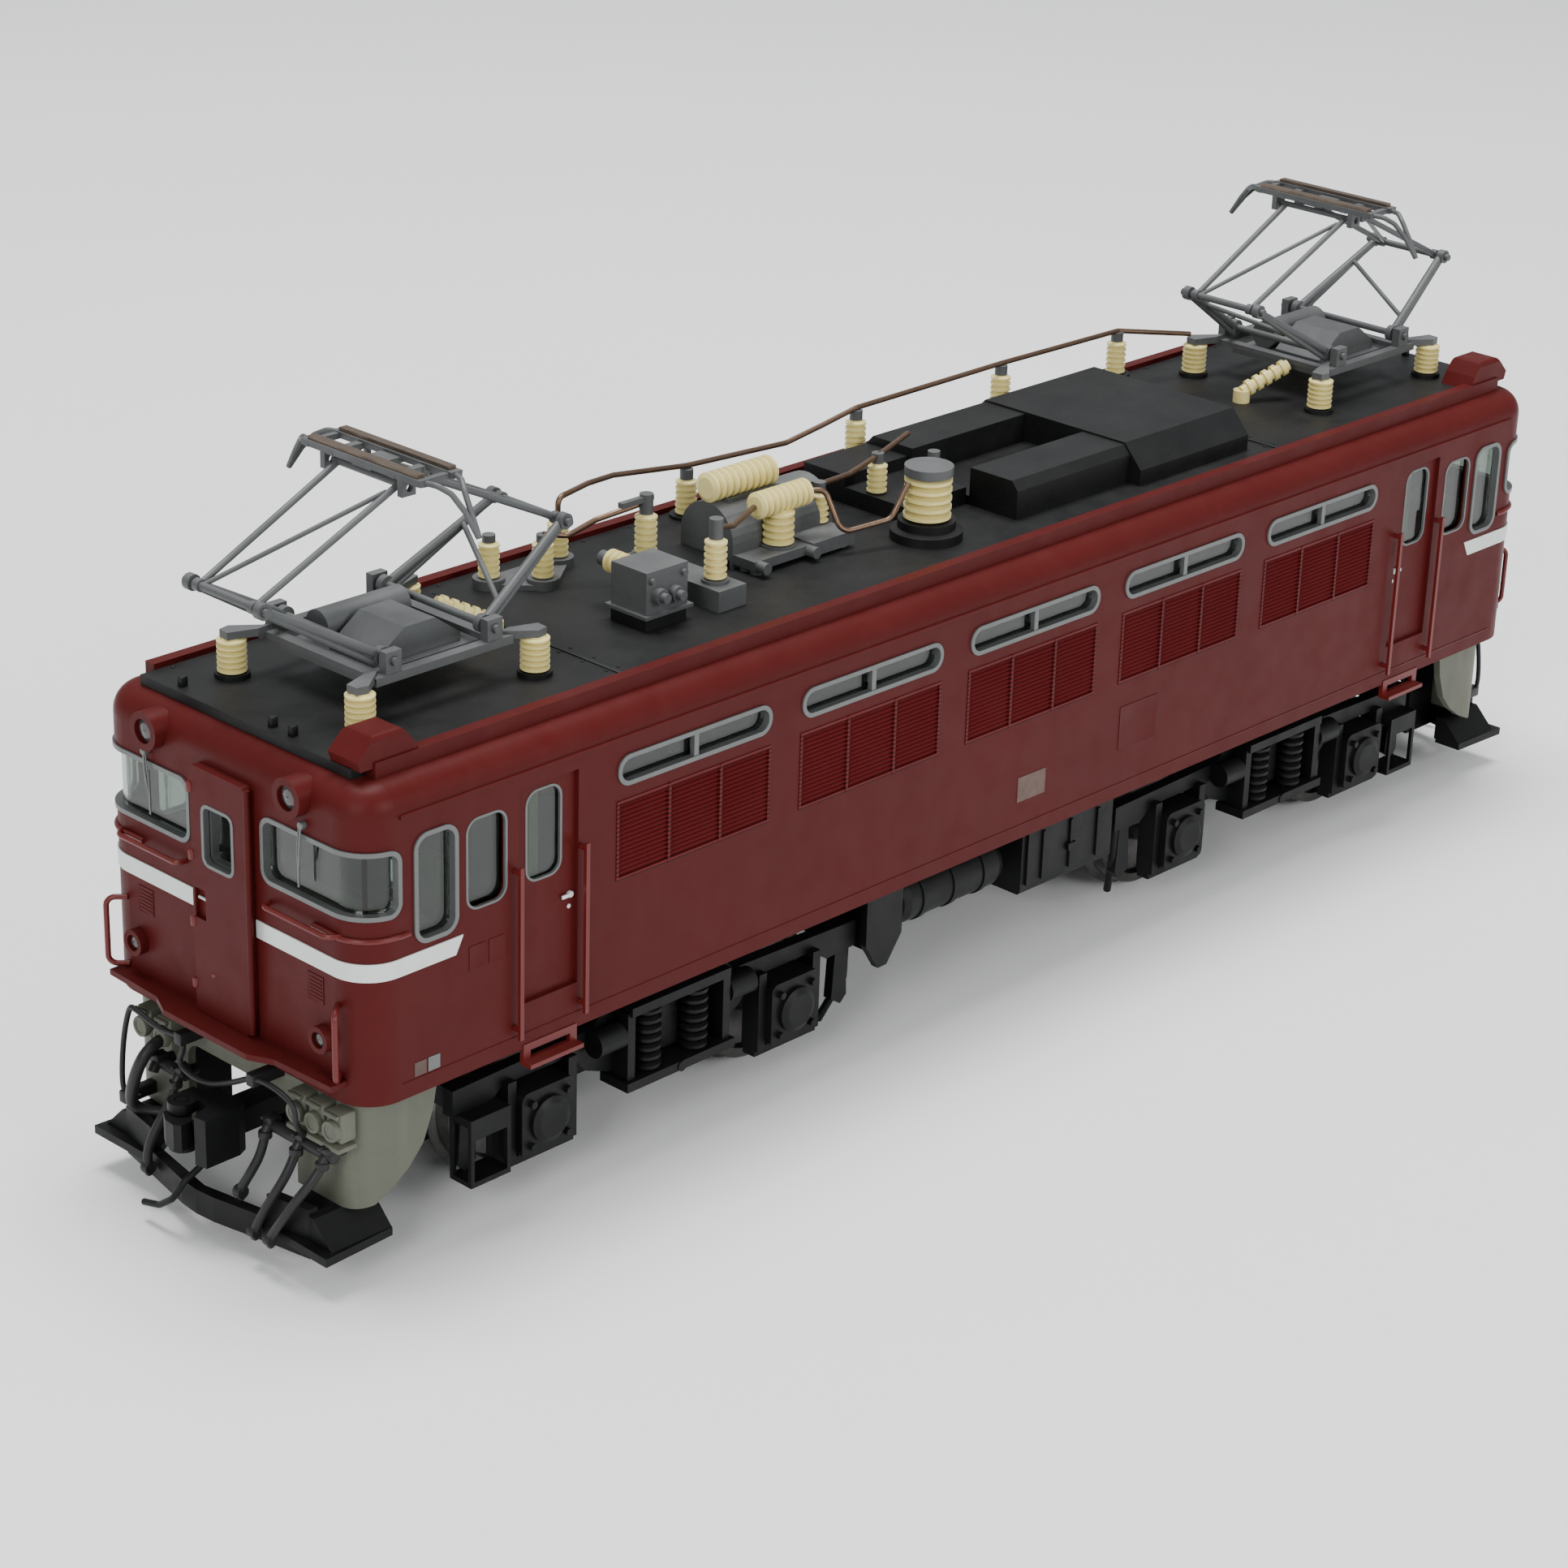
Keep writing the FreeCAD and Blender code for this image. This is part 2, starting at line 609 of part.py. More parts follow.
def make_roof_gear():
    top = size("roof_top")
    posts, caps = [], []

    def post(x, y, low, high, radius, ribs, cap):
        posts.append(insulator("z", (x, y), low, high - low, radius, ribs))
        if cap:
            caps.append(rod("z", radius * 0.62, (high, high + cap), (x, y)))

    for x, y in PANTO_FEET:
        post(x, y, top + 0.45, 49.9, 1.3, 6, 0)
    for x, y, low in BUS_FEET:
        post(x, y, low, low + 3.5, 1.05, 6, 1.0)
    for x, y in SWITCH_FEET:
        post(x, y, top + 0.9, 50.6, 1.0, 6, 0.7)
    for x, y in BAR_FEET:
        post(x, y, 48.6, 52.4, 1.05, 6, 1.9)
    for x, y, low in LINK_FEET:
        post(x, y, low, low + 3.0, 0.98, 5, 1.0)
    post(*BUSHING, top + 1.9, 52.6, 2.3, 5, 0)
    caps.append(rod("z", 2.35, (52.6, 53.5), BUSHING))
    post(*BREAKER, 47.9, 51.3, 1.5, 5, 0)
    posts.append(insulator("x", (BREAKER[1], 52.2), -22.9, 6.8, 1.28, 9, 0.7))
    posts.append(insulator("x", (2.0, 53.4), -25.2, 8.6, 1.42, 10, 0.7))
    posts.append(insulator("y", (-39.4, 50.4), -3.1, 3.0, 1.1, 4))
    caps.append(rod("y", 0.7, (-0.1, 0.8), (-39.4, 50.4)))
    for end in ENDS:
        posts.append(drive_rod(end, top))
    node("roof_insulators", group(posts))
    # each wire and the switch arm lie in grooves of their caps
    bar_arm = block((-35.4, -31.4), (2.4, 3.0), (53.6, 54.1))
    grooves = [bent_bar(points, 0.30) for points in WIRES]
    node("insulator_caps", cut(group(caps), grooves + [bar_arm]))

    box = block((-42.0, -36.9), (-7.6, -3.1), (top + 1.35, 51.75))
    lip = block((-42.4, -36.5), (-8.0, -2.7), (top + 1.2, top + 1.5))
    plugs = [turned("y", (x, z), [(0, -7.4), (0.75, -7.4), (0.75, -8.3), (0.45, -8.3),
                                  (0.45, -8.9), (0, -8.9)])
             for x, z in ((-40.6, 49.4), (-38.6, 49.2))]
    ears = [rod("y", 0.3, (-8.0, -7.4), (x, 50.9)) for x in (-41.4, -37.5)]
    measuring = fuse([box, lip] + plugs + ears)
    bar = block((-33.9, -30.4), (-8.6, 4.2), (top, 48.3))
    seats = [rod("z", 1.3, (48.2, 48.6), place) for place in BAR_FEET]
    star = [rod("z", 1.5, (top, top + 0.9), place) for place in SWITCH_FEET]
    star.append(prism("z", (top, top + 0.5), [(-45.2, 9.4), (-44.4, 11.2), (-35.6, 11.2),
                                              (-35.4, 9.4), (-39.9, 6.0), (-41.8, 6.0)]))
    node("roof_equipment", group([measuring, fuse([bar] + seats), fuse(star), bar_arm]))

    arc = [(2.0 + 3.4 * math.cos(math.radians(a)), 48.7 + 3.3 * math.sin(math.radians(a)))
           for a in range(0, 181, 12)]
    tank = prism("x", (-24.9, -11.6), [(5.4, top)] + arc + [(-1.4, top)])
    plate = block((-24.8, -11.8), (-4.2, -1.4), (top + 0.5, 47.7))
    cheek = block((-17.4, -11.8), (-4.6, 0.6), (top + 0.3, 47.9))
    feet = [rod("z", 0.6, (top, top + 0.6), (x, y)) for x in (-24.0, -12.6) for y in (-3.6, -2.3)]
    bolts = [rod("y", 0.55, (-5.3, -4.0), (x, 47.2)) for x in (-24.2, -17.6)]
    seat = rod("z", 1.7, (47.5, 47.9), BREAKER)
    saddle = block((-23.4, -16.6), (0.8, 3.2), (51.6, 52.2))
    room = [rod("z", 1.55, (47.9, 52.3), BREAKER), rod("z", 1.0, (47.9, 53.0), LINK_FEET[0][:2]),
            rod("x", 1.3, (-24.0, -15.0), (BREAKER[1], 52.2)),
            rod("x", 1.45, (-26.0, -16.0), (2.0, 53.4))]
    node("circuit_breaker", cut(fuse([tank, plate, cheek, seat, saddle] + feet + bolts), room))

    node("bus_wires", group([bent_bar(points, 0.27) for points in WIRES]))


# ---------------------------------------------------------------- current collectors

def collector_angles():
    """Arm angles at rest. The upper arm's angle follows from the lower one's."""
    low = math.radians(size("rest_angle"))
    drop = size("lower_arm") * (1 - math.cos(low)) / size("upper_arm")
    return low, math.acos(1 - drop)


def make_collector(end, name):
    mid, pivot_z = end * size("panto_centre"), size("pivot_height")
    offset, head_off = size("pivot_offset"), size("head_offset")
    half_low, half_knee = size("arm_half_pivot"), size("arm_half_knee")
    low_angle, up_angle = collector_angles()
    knee_x = offset + size("lower_arm") * math.cos(low_angle)
    knee_z = pivot_z + size("lower_arm") * math.sin(low_angle)
    head_z = knee_z + size("upper_arm") * math.sin(up_angle)
    shaft, bore = size("shaft_radius"), size("shaft_radius") + size("bore_gap")

    # base: two side rails, cross bars, feet arms to the insulators, pivot lugs, spring case
    rails = [block((mid - 7.6, mid + 7.6), flip(side, 7.0, 8.0), (49.55, 50.3)) for side in SIDES]
    cross = [block(about(mid + x, 0.55), (-7.4, 7.4), (49.55, 50.1)) for x in (-6.6, 6.6)]
    feet, lugs = [], []
    for side in SIDES:
        for way in (-1, 1):
            feet.append(prism("z", (49.9, 50.6), [
                (mid + way * 6.6, side * 7.0), (mid + way * 9.4, side * 9.2),
                (mid + way * 10.5, side * 9.0), (mid + way * 10.6, side * 7.8),
                (mid + way * 8.0, side * 6.9)]))
            lug = block(about(mid + way * offset, 0.85), flip(side, 7.0, 7.9),
                        (50.2, pivot_z + 0.85))
            lugs.append(cut(lug, [rod("y", bore, (-9, 9), (mid + way * offset, pivot_z))]))
    wedge = prism("y", (-4.6, 1.2), [(mid - 5.0, 49.0), (mid + 4.6, 49.0), (mid + 4.6, 50.4),
                                     (mid + 1.8, 52.4), (mid - 1.6, 52.4), (mid - 5.0, 50.0)])
    case = rod("x", 1.5, (mid - 4.6, mid + 4.6), (3.2, 51.0))
    tray = block((mid - 7.0, mid + 7.0), (-5.4, 5.4), (49.0, 49.6))
    frame = fuse(rails + cross + feet + lugs + [wedge, case, tray])
    node(f"{name}_base", frame)

    def lower(way, label):
        """Lower arm pair: two parallel tubes a side, the pivot shaft and the knee."""
        x0, x1 = mid + way * offset, mid + way * knee_x
        bars = [rod("y", shaft, (-8.3, 8.3), (x0, pivot_z))]
        for side in SIDES:
            lift = 0.62
            bars.append(strut((x0, side * half_low, pivot_z),
                              (x1, side * half_knee, knee_z), 0.42))
            bars.append(strut((x0 + way * 0.5, side * (half_low - 0.12), pivot_z - lift),
                              (x1 - way * 0.35, side * (half_knee + 0.24), knee_z - lift + 0.15),
                              0.28))
            bars.append(rod("y", 0.82, flip(side, half_low - 0.35, half_low + 0.35),
                            (x0, pivot_z)))
            bars.append(rod("y", 0.72, flip(side, half_knee - 0.1, half_knee + 0.65),
                            (x1, knee_z)))
        brace = [(x0 + (x1 - x0) * t, side * (half_low + (half_knee - half_low) * t),
                  pivot_z + (knee_z - pivot_z) * t) for t, side in ((0.2, -1), (0.7, 1))]
        bars.append(strut(*brace, 0.25))
        eye = rod("y", bore, (-9, 9), (x1, knee_z))
        node(label, cut(fuse(bars), [eye]))

    def upper(way, label):
        """Upper frame: knee shaft, two tubes to the head and one diagonal."""
        x1, x2 = mid + way * knee_x, mid + way * head_off
        inner = half_knee - 0.75
        top_half = 3.9 if way < 0 else 3.2
        bars = [rod("y", shaft, (-half_knee - 1.1, half_knee + 1.1), (x1, knee_z))]
        for side in SIDES:
            bars.append(strut((x1, side * inner, knee_z), (x2, side * top_half, head_z), 0.3))
            bars.append(rod("y", 0.55, flip(side, inner - 0.35, inner + 0.35), (x1, knee_z)))
        lean = 0.93
        bars.append(strut((x1, inner - 0.3, knee_z),
                          (x1 + (x2 - x1) * lean, -inner, knee_z + (head_z - knee_z) * lean),
                          0.22))
        bars.append(rod("y", shaft - 0.06, (-top_half - 0.5, top_half + 0.5), (x2, head_z)))
        node(label, fuse(bars))

    lower(-1, f"{name}_lower_front")
    upper(-1, f"{name}_upper_front")
    lower(1, f"{name}_lower_rear")
    upper(1, f"{name}_upper_rear")

    # head: two pans with end horns, carried on lugs round both top shafts
    pan_z = head_z + 1.35
    pans = []
    for way in (-1, 1):
        x = mid + way * 1.7
        section = [(x - 0.55, pan_z - 0.6), (x + 0.55, pan_z - 0.6), (x + 0.62, pan_z),
                   (x - 0.62, pan_z)]
        pans.append(prism("y", (-7.6, 7.6), section))
        lugs_y = (4.65, 5.25) if way < 0 else (3.95, 4.5)
        hole = rod("y", size("shaft_radius") + (0.0 if way < 0 else 0.12), (-9, 9),
                   (mid + way * head_off, head_z))
        for side in SIDES:
            lug = block(about(mid + way * (head_off + 0.1), 0.75), flip(side, *lugs_y),
                        (head_z - 0.7, pan_z - 0.3))
            pans.append(cut(lug, [hole]))
    for side in SIDES:
        pans.append(block((mid - 2.3, mid + 2.3), flip(side, 3.6, 4.4), (pan_z - 0.62, pan_z - 0.2)))
        pans.append(block((mid - 2.3, mid + 2.3), flip(side, 6.7, 7.3), (pan_z - 0.62, pan_z - 0.1)))
        for way in (-1, 1):
            pans.append(bent_bar([(mid + way * 1.7, side * 7.2, pan_z - 0.3),
                                  (mid + way * 1.3, side * 8.6, pan_z - 0.35),
                                  (mid + way * 0.7, side * 9.6, pan_z - 0.9),
                                  (mid + way * 0.3, side * 10.8, pan_z - 2.2),
                                  (mid, side * 12.2, pan_z - 4.2)], 0.26))
    pans.append(rod("z", 0.85, (head_z - 0.5, pan_z - 0.3), (mid, 0)))
    pans.append(block((mid - 2.2, mid + 2.2), (-1.2, 1.2), (pan_z - 0.75, pan_z - 0.25)))
    node(f"{name}_head", fuse(pans))
    strips = [block(about(mid + way * 1.7, 0.42), (-7.0, 7.0), (pan_z, pan_z + 0.32))
              for way in (-1, 1)]
    node(f"{name}_contact_strips", group(strips))


# ---------------------------------------------------------------- underframe

def make_chassis():
    """Metal frame: floor with round bogie seats, motor cradle, end drawbar boxes."""
    floor = padded_body("chassis_floor", "XY_Plane", "dims.floor_low",
                        rectangle("79", "dims.body_width / 2 - dims.shell_wall - 0.15"),
                        "dims.floor_high - dims.floor_low")
    walls = [block((-62, 62), flip(side, 10.6, 15.4), ("dims.floor_high - 0.1", 27.5))
             for side in SIDES]
    cradle = [block((end * 13.6 - 0.9, end * 13.6 + 0.9), (-10.8, 10.8),
                    ("dims.floor_high - 0.1", 26.0)) for end in ENDS]
    boxes = [block(flip(end, 70.8, 79), (-4.6, 4.6), (12.5, "dims.floor_low + 0.1"))
             for end in ENDS]
    seats = [rod("z", "dims.collar_radius + dims.collar_gap",
                 ("dims.floor_low - 1", "dims.floor_high + 6.5"),
                 (f"{end} * dims.bogie_centre", 0)) for end in ENDS]
    clearances = [rod("z", 12.6, ("dims.floor_high", 29), (end * size("bogie_centre"), 0))
                  for end in ENDS]
    motor_room = rod("x", "dims.motor_radius + 0.02", (-40, 40), (0, "dims.worm_height"))
    frame = cut(fuse([floor] + walls + cradle + boxes), seats + clearances + [motor_room])
    # the drawbar pin hangs from each box, its head under the drawbar
    pins = [fuse([rod("z", 1.0, (8.6, 12.6), (end * size("coupler_pivot"), 0)),
                  rod("z", 1.7, (8.0, 8.7), (end * size("coupler_pivot"), 0))]) for end in ENDS]
    node("chassis_frame", fuse([frame] + pins))


def make_underfloor():
    """Battery boxes, air tanks and braced plates between the bogies, on both sides."""
    parts = []
    for side in SIDES:
        case = pillow("x", 0.5, (2.8, 16.8), flip(side, 5.2, 15.2), (9.0, 16.4))
        lid = block((3.4, 16.2), flip(side, 15.0, 15.5), (10.0, 15.6))
        ribs = [block((x - 0.2, x + 0.2), flip(side, 15.3, 15.75), (10.2, 15.4))
                for x in (5.6, 9.8, 14.0)]
        latch = block((9.2, 10.4), flip(side, 15.3, 15.9), (12.2, 12.9))
        parts.append(fuse([case, lid, latch] + ribs))
        for y in (6.6, 12.0):
            tank = turned("x", (side * y, 12.6), [
                (0, -13.8), (1.6, -13.7), (2.3, -13.3), (2.6, -12.5), (2.6, 0.2), (2.3, 1.0),
                (1.6, 1.4), (0, 1.5)])
            straps = [rod("x", 2.75, (x - 0.35, x + 0.35), (side * y, 12.6))
                      for x in (-10.6, -6.2, -1.8)]
            parts.append(fuse([tank] + straps))
        plate = prism("y", flip(side, 14.2, 15.0), [(-19.4, 16.8), (-14.4, 16.8), (-14.4, 10.6),
                                                    (-16.4, 7.8), (-17.6, 7.8), (-19.4, 10.6)])
        web = block((-17.6, -16.4), flip(side, 6.0, 14.4), (9.0, 16.8))
        parts.append(fuse([plate, web]))
    rack = block((-19.5, 17.2), (-15.2, 15.2), (16.3, 18.4))
    parts.append(cut(rack, [block((-14.0, 14.0), (-9.0, 9.0), (16.0, 19.0))]))
    # everything hangs from the rack
    hangers = [block((x - 0.5, x + 0.5), flip(side, 5.0, 13.4), (14.4, 16.6))
               for x in (-10.6, -1.8) for side in SIDES]
    node("underfloor_gear", fuse(parts + hangers))


def make_skirts():
    """Grey end skirts: curved side plates joined by a front plate with a drawbar arch."""
    skirts = []
    for end in ENDS:
        outline = [(73.2, 17.0), (73.9, 13.4), (75.0, 10.6), (76.6, 8.8), (78.6, 7.4),
                   (80.4, 6.6), (82.3, 6.3), (82.3, 17.0)]
        solid = prism("y", (-15.3, 15.3), [(end * x, z) for x, z in outline])
        solid = rounded(solid, 2.4, parallel_front(end))
        hollow = block(flip(end, 70.0, 81.5), (-14.5, 14.5), (5.0, 18.5))
        arch = pillow("x", 1.5, flip(end, 78.0, 84.0), (-7.4, 7.4), (3.0, 14.2))
        skirts.append(cut(solid, [hollow, arch]))
    node("pilot_skirts", group(skirts))


def parallel_front(end):
    """Picks the two upright corners of the front plate."""
    return lambda edge: parallel("z")(edge) and edge.Vertexes[0].X * end > 82.0


def make_ploughs():
    """Black snow ploughs: a low pointed blade with two flat wings, on brackets."""
    ploughs = []
    for end in ENDS:
        blade = []
        for side in SIDES:
            face = prism("z", (2.2, 6.9), [
                (end * 84.4, side * 12.6), (end * 85.4, side * 12.6), (end * 86.2, side * 8.0),
                (end * 85.2, side * 8.0)])
            apron = prism("z", (2.2, 4.6), [
                (end * 85.2, side * 8.2), (end * 86.2, side * 8.2), (end * 87.4, side * 2.2),
                (end * 87.6, 0.0), (end * 86.6, 0.0)])
            wing = prism("z", (3.2, 4.0), [
                (end * 78.8, side * 12.4), (end * 78.8, side * 15.6), (end * 86.4, side * 16.0),
                (end * 86.3, side * 8.4), (end * 84.4, side * 9.0)])
            ramp = prism("x", flip(end, 78.8, 85.4), [
                (side * 12.2, 3.6), (side * 12.2, 6.3), (side * 13.2, 6.3), (side * 15.6, 3.9)])
            stay = block(flip(end, 76.4, 85.2), flip(side, 9.0, 10.0), (4.2, 6.25))
            hanger = block(flip(end, 76.4, 80.8), flip(side, 9.0, 10.0), (6.0, "dims.floor_low"))
            blade += [face, apron, wing, ramp, stay, hanger]
        ploughs.append(fuse(blade))
    node("snow_ploughs", group(ploughs))


def make_motor():
    axis = size("worm_height")
    can = rod("x", "dims.motor_radius", ("-dims.motor_half", "dims.motor_half"),
              (0, "dims.worm_height"))
    ends = [turned("x", (0, axis), [(0, end * 12.8), (3.2, end * 12.8), (3.2, end * 14.6),
                                    (0, end * 14.6)]) for end in ENDS]
    flats = [block((-14, 14), flip(side, 6.4, 9.0), (axis - 9, axis + 9)) for side in SIDES]
    bore = rod("x", 0.8, (-16, 16), (0, axis))
    node("motor_can", cut(fuse([can] + ends), flats + [bore]))
    shaft = [rod("x", 0.75, (-28, 28), (0, axis))]
    for end in ENDS:
        shaft.append(turned("x", (0, axis), [
            (0, end * 15.2), (size("flywheel_radius"), end * 15.2),
            (size("flywheel_radius"), end * 25.6), (1.6, end * 25.6), (1.6, end * 27.4),
            (0, end * 27.4)]))
        shaft.append(rod("x", 0.5, flip(end, 27.0, 36.1), (0, axis)))
        shaft.append(ball((end * 36.1, 0, axis), 0.9))
    node("motor_shaft", fuse(shaft))


def make_interior():
    """Circuit board over the motor, cab desks, seats and bulkheads."""
    board = block((-34, 34), (-8.5, 8.5), (34.0, 35.2))
    posts = [rod("z", 1.2, (27.6, 34.2), (end * 32.0, side * 6.6))
             for end in ENDS for side in SIDES]
    chips = [block((x, x + w), (-3, 3), (35.1, 36.6)) for x, w in ((-24, 9), (-4, 8), (14, 6))]
    tabs = [block((end * 32.0 - 1.5, end * 32.0 + 1.5), flip(side, 5.0, 11.6), (27.5, 28.2))
            for end in ENDS for side in SIDES]
    node("circuit_board", fuse([board] + posts + chips + tabs))
    cabs = []
    for end in ENDS:
        floor = block(flip(end, 62.5, 80.6), (-15.8, 15.8), (21.2, 22.4))
        wall = block(flip(end, 62.5, 63.5), (-15.8, 15.8), (22.2, 43.6))
        desk = prism("y", (-13.6, -4.6) if end < 0 else (4.6, 13.6), [
            (end * 80.4, 22.2), (end * 76.4, 22.2), (end * 76.4, 30.6), (end * 78.2, 33.0),
            (end * 80.4, 33.4)])
        mate = prism("y", (5.4, 13.0) if end < 0 else (-13.0, -5.4), [
            (end * 80.4, 22.2), (end * 77.8, 22.2), (end * 77.8, 31.0), (end * 80.4, 31.8)])
        seats = []
        for side in SIDES:
            seats.append(block(flip(end, 69.4, 73.2), about(side * 8.6, 2.1), (27.2, 28.4)))
            seats.append(block(flip(end, 68.6, 69.8), about(side * 8.6, 2.1), (27.2, 34.0)))
            seats.append(rod("z", 0.9, (22.2, 27.4), (end * 71.2, side * 8.6)))
        cabs.append(fuse([floor, wall, desk, mate] + seats))
    node("cab_interiors", group(cabs))


# ---------------------------------------------------------------- bogies

def gear_points(centre, teeth, phase):
    """Outline of a spur gear in the XZ plane, one tooth centred on the phase angle."""
    module = size("gear_module")
    pitch = module * teeth / 2
    tip, root = pitch + 0.26, pitch - 0.56
    turn = 2 * math.pi / teeth
    outline = []
    for i in range(teeth):
        a = phase + i * turn
        for radius, share in ((root, -0.26), (tip, -0.085), (tip, 0.085), (root, 0.26)):
            angle = a + share * turn
            outline.append((centre[0] + radius * math.cos(angle),
                            centre[1] + radius * math.sin(angle)))
    return outline


def meshed_phase(first, second, first_teeth, second_teeth, first_phase):
    """The phase that puts a gap of the second gear where the first gear's tooth points."""
    way = math.atan2(second[1] - first[1], second[0] - first[0])
    first_turn, second_turn = 2 * math.pi / first_teeth, 2 * math.pi / second_teeth
    share = (way - first_phase) / first_turn
    return way + math.pi - (0.5 - share) * second_turn


TEETH = {"centre": 20, "idler": 20, "axle": 18}


def gear_places(mid):
    """Centres of the gears of one bogie: worm wheel, two idlers, two axle gears."""
    module = size("gear_module")
    top = (mid, size("centre_gear_height"))
    near = module * (TEETH["centre"] + TEETH["idler"]) / 2
    far = module * (TEETH["idler"] + TEETH["axle"]) / 2
    run, drop = size("half_wheelbase"), size("centre_gear_height") - size("axle_height")
    reach = math.hypot(run, drop)
    share = (near ** 2 - far ** 2 + reach ** 2) / (2 * reach)
    bend = math.sqrt(near ** 2 - share ** 2)
    x = share * run / reach - bend * drop / reach
    z = share * drop / reach + bend * run / reach
    idlers = {way: (mid + way * x, top[1] - z) for way in (-1, 1)}
    axles = {way: (mid + way * run, size("axle_height")) for way in (-1, 1)}
    return top, idlers, axles


def wheel_profile(side):
    """Wheel section from the back face outwards: flange, coned tread, rim, dished web, hub."""
    back = size("back_to_back") / 2
    tread, flange = size("tread_radius"), size("flange_radius")
    points = [(0.9, back), (flange - 0.35, back), (flange, back + 0.25), (flange, back + 0.45),
              (flange - 0.45, back + 0.75), (tread, back + 0.9), (tread - 0.08, back + 2.5),
              (tread - 0.3, back + 2.7), (tread - 1.1, back + 2.7), (tread - 1.3, back + 1.9),
              (2.5, back + 1.6), (2.2, back + 2.7), (0.9, back + 2.7)]
    return [(r, side * a) for r, a in points]


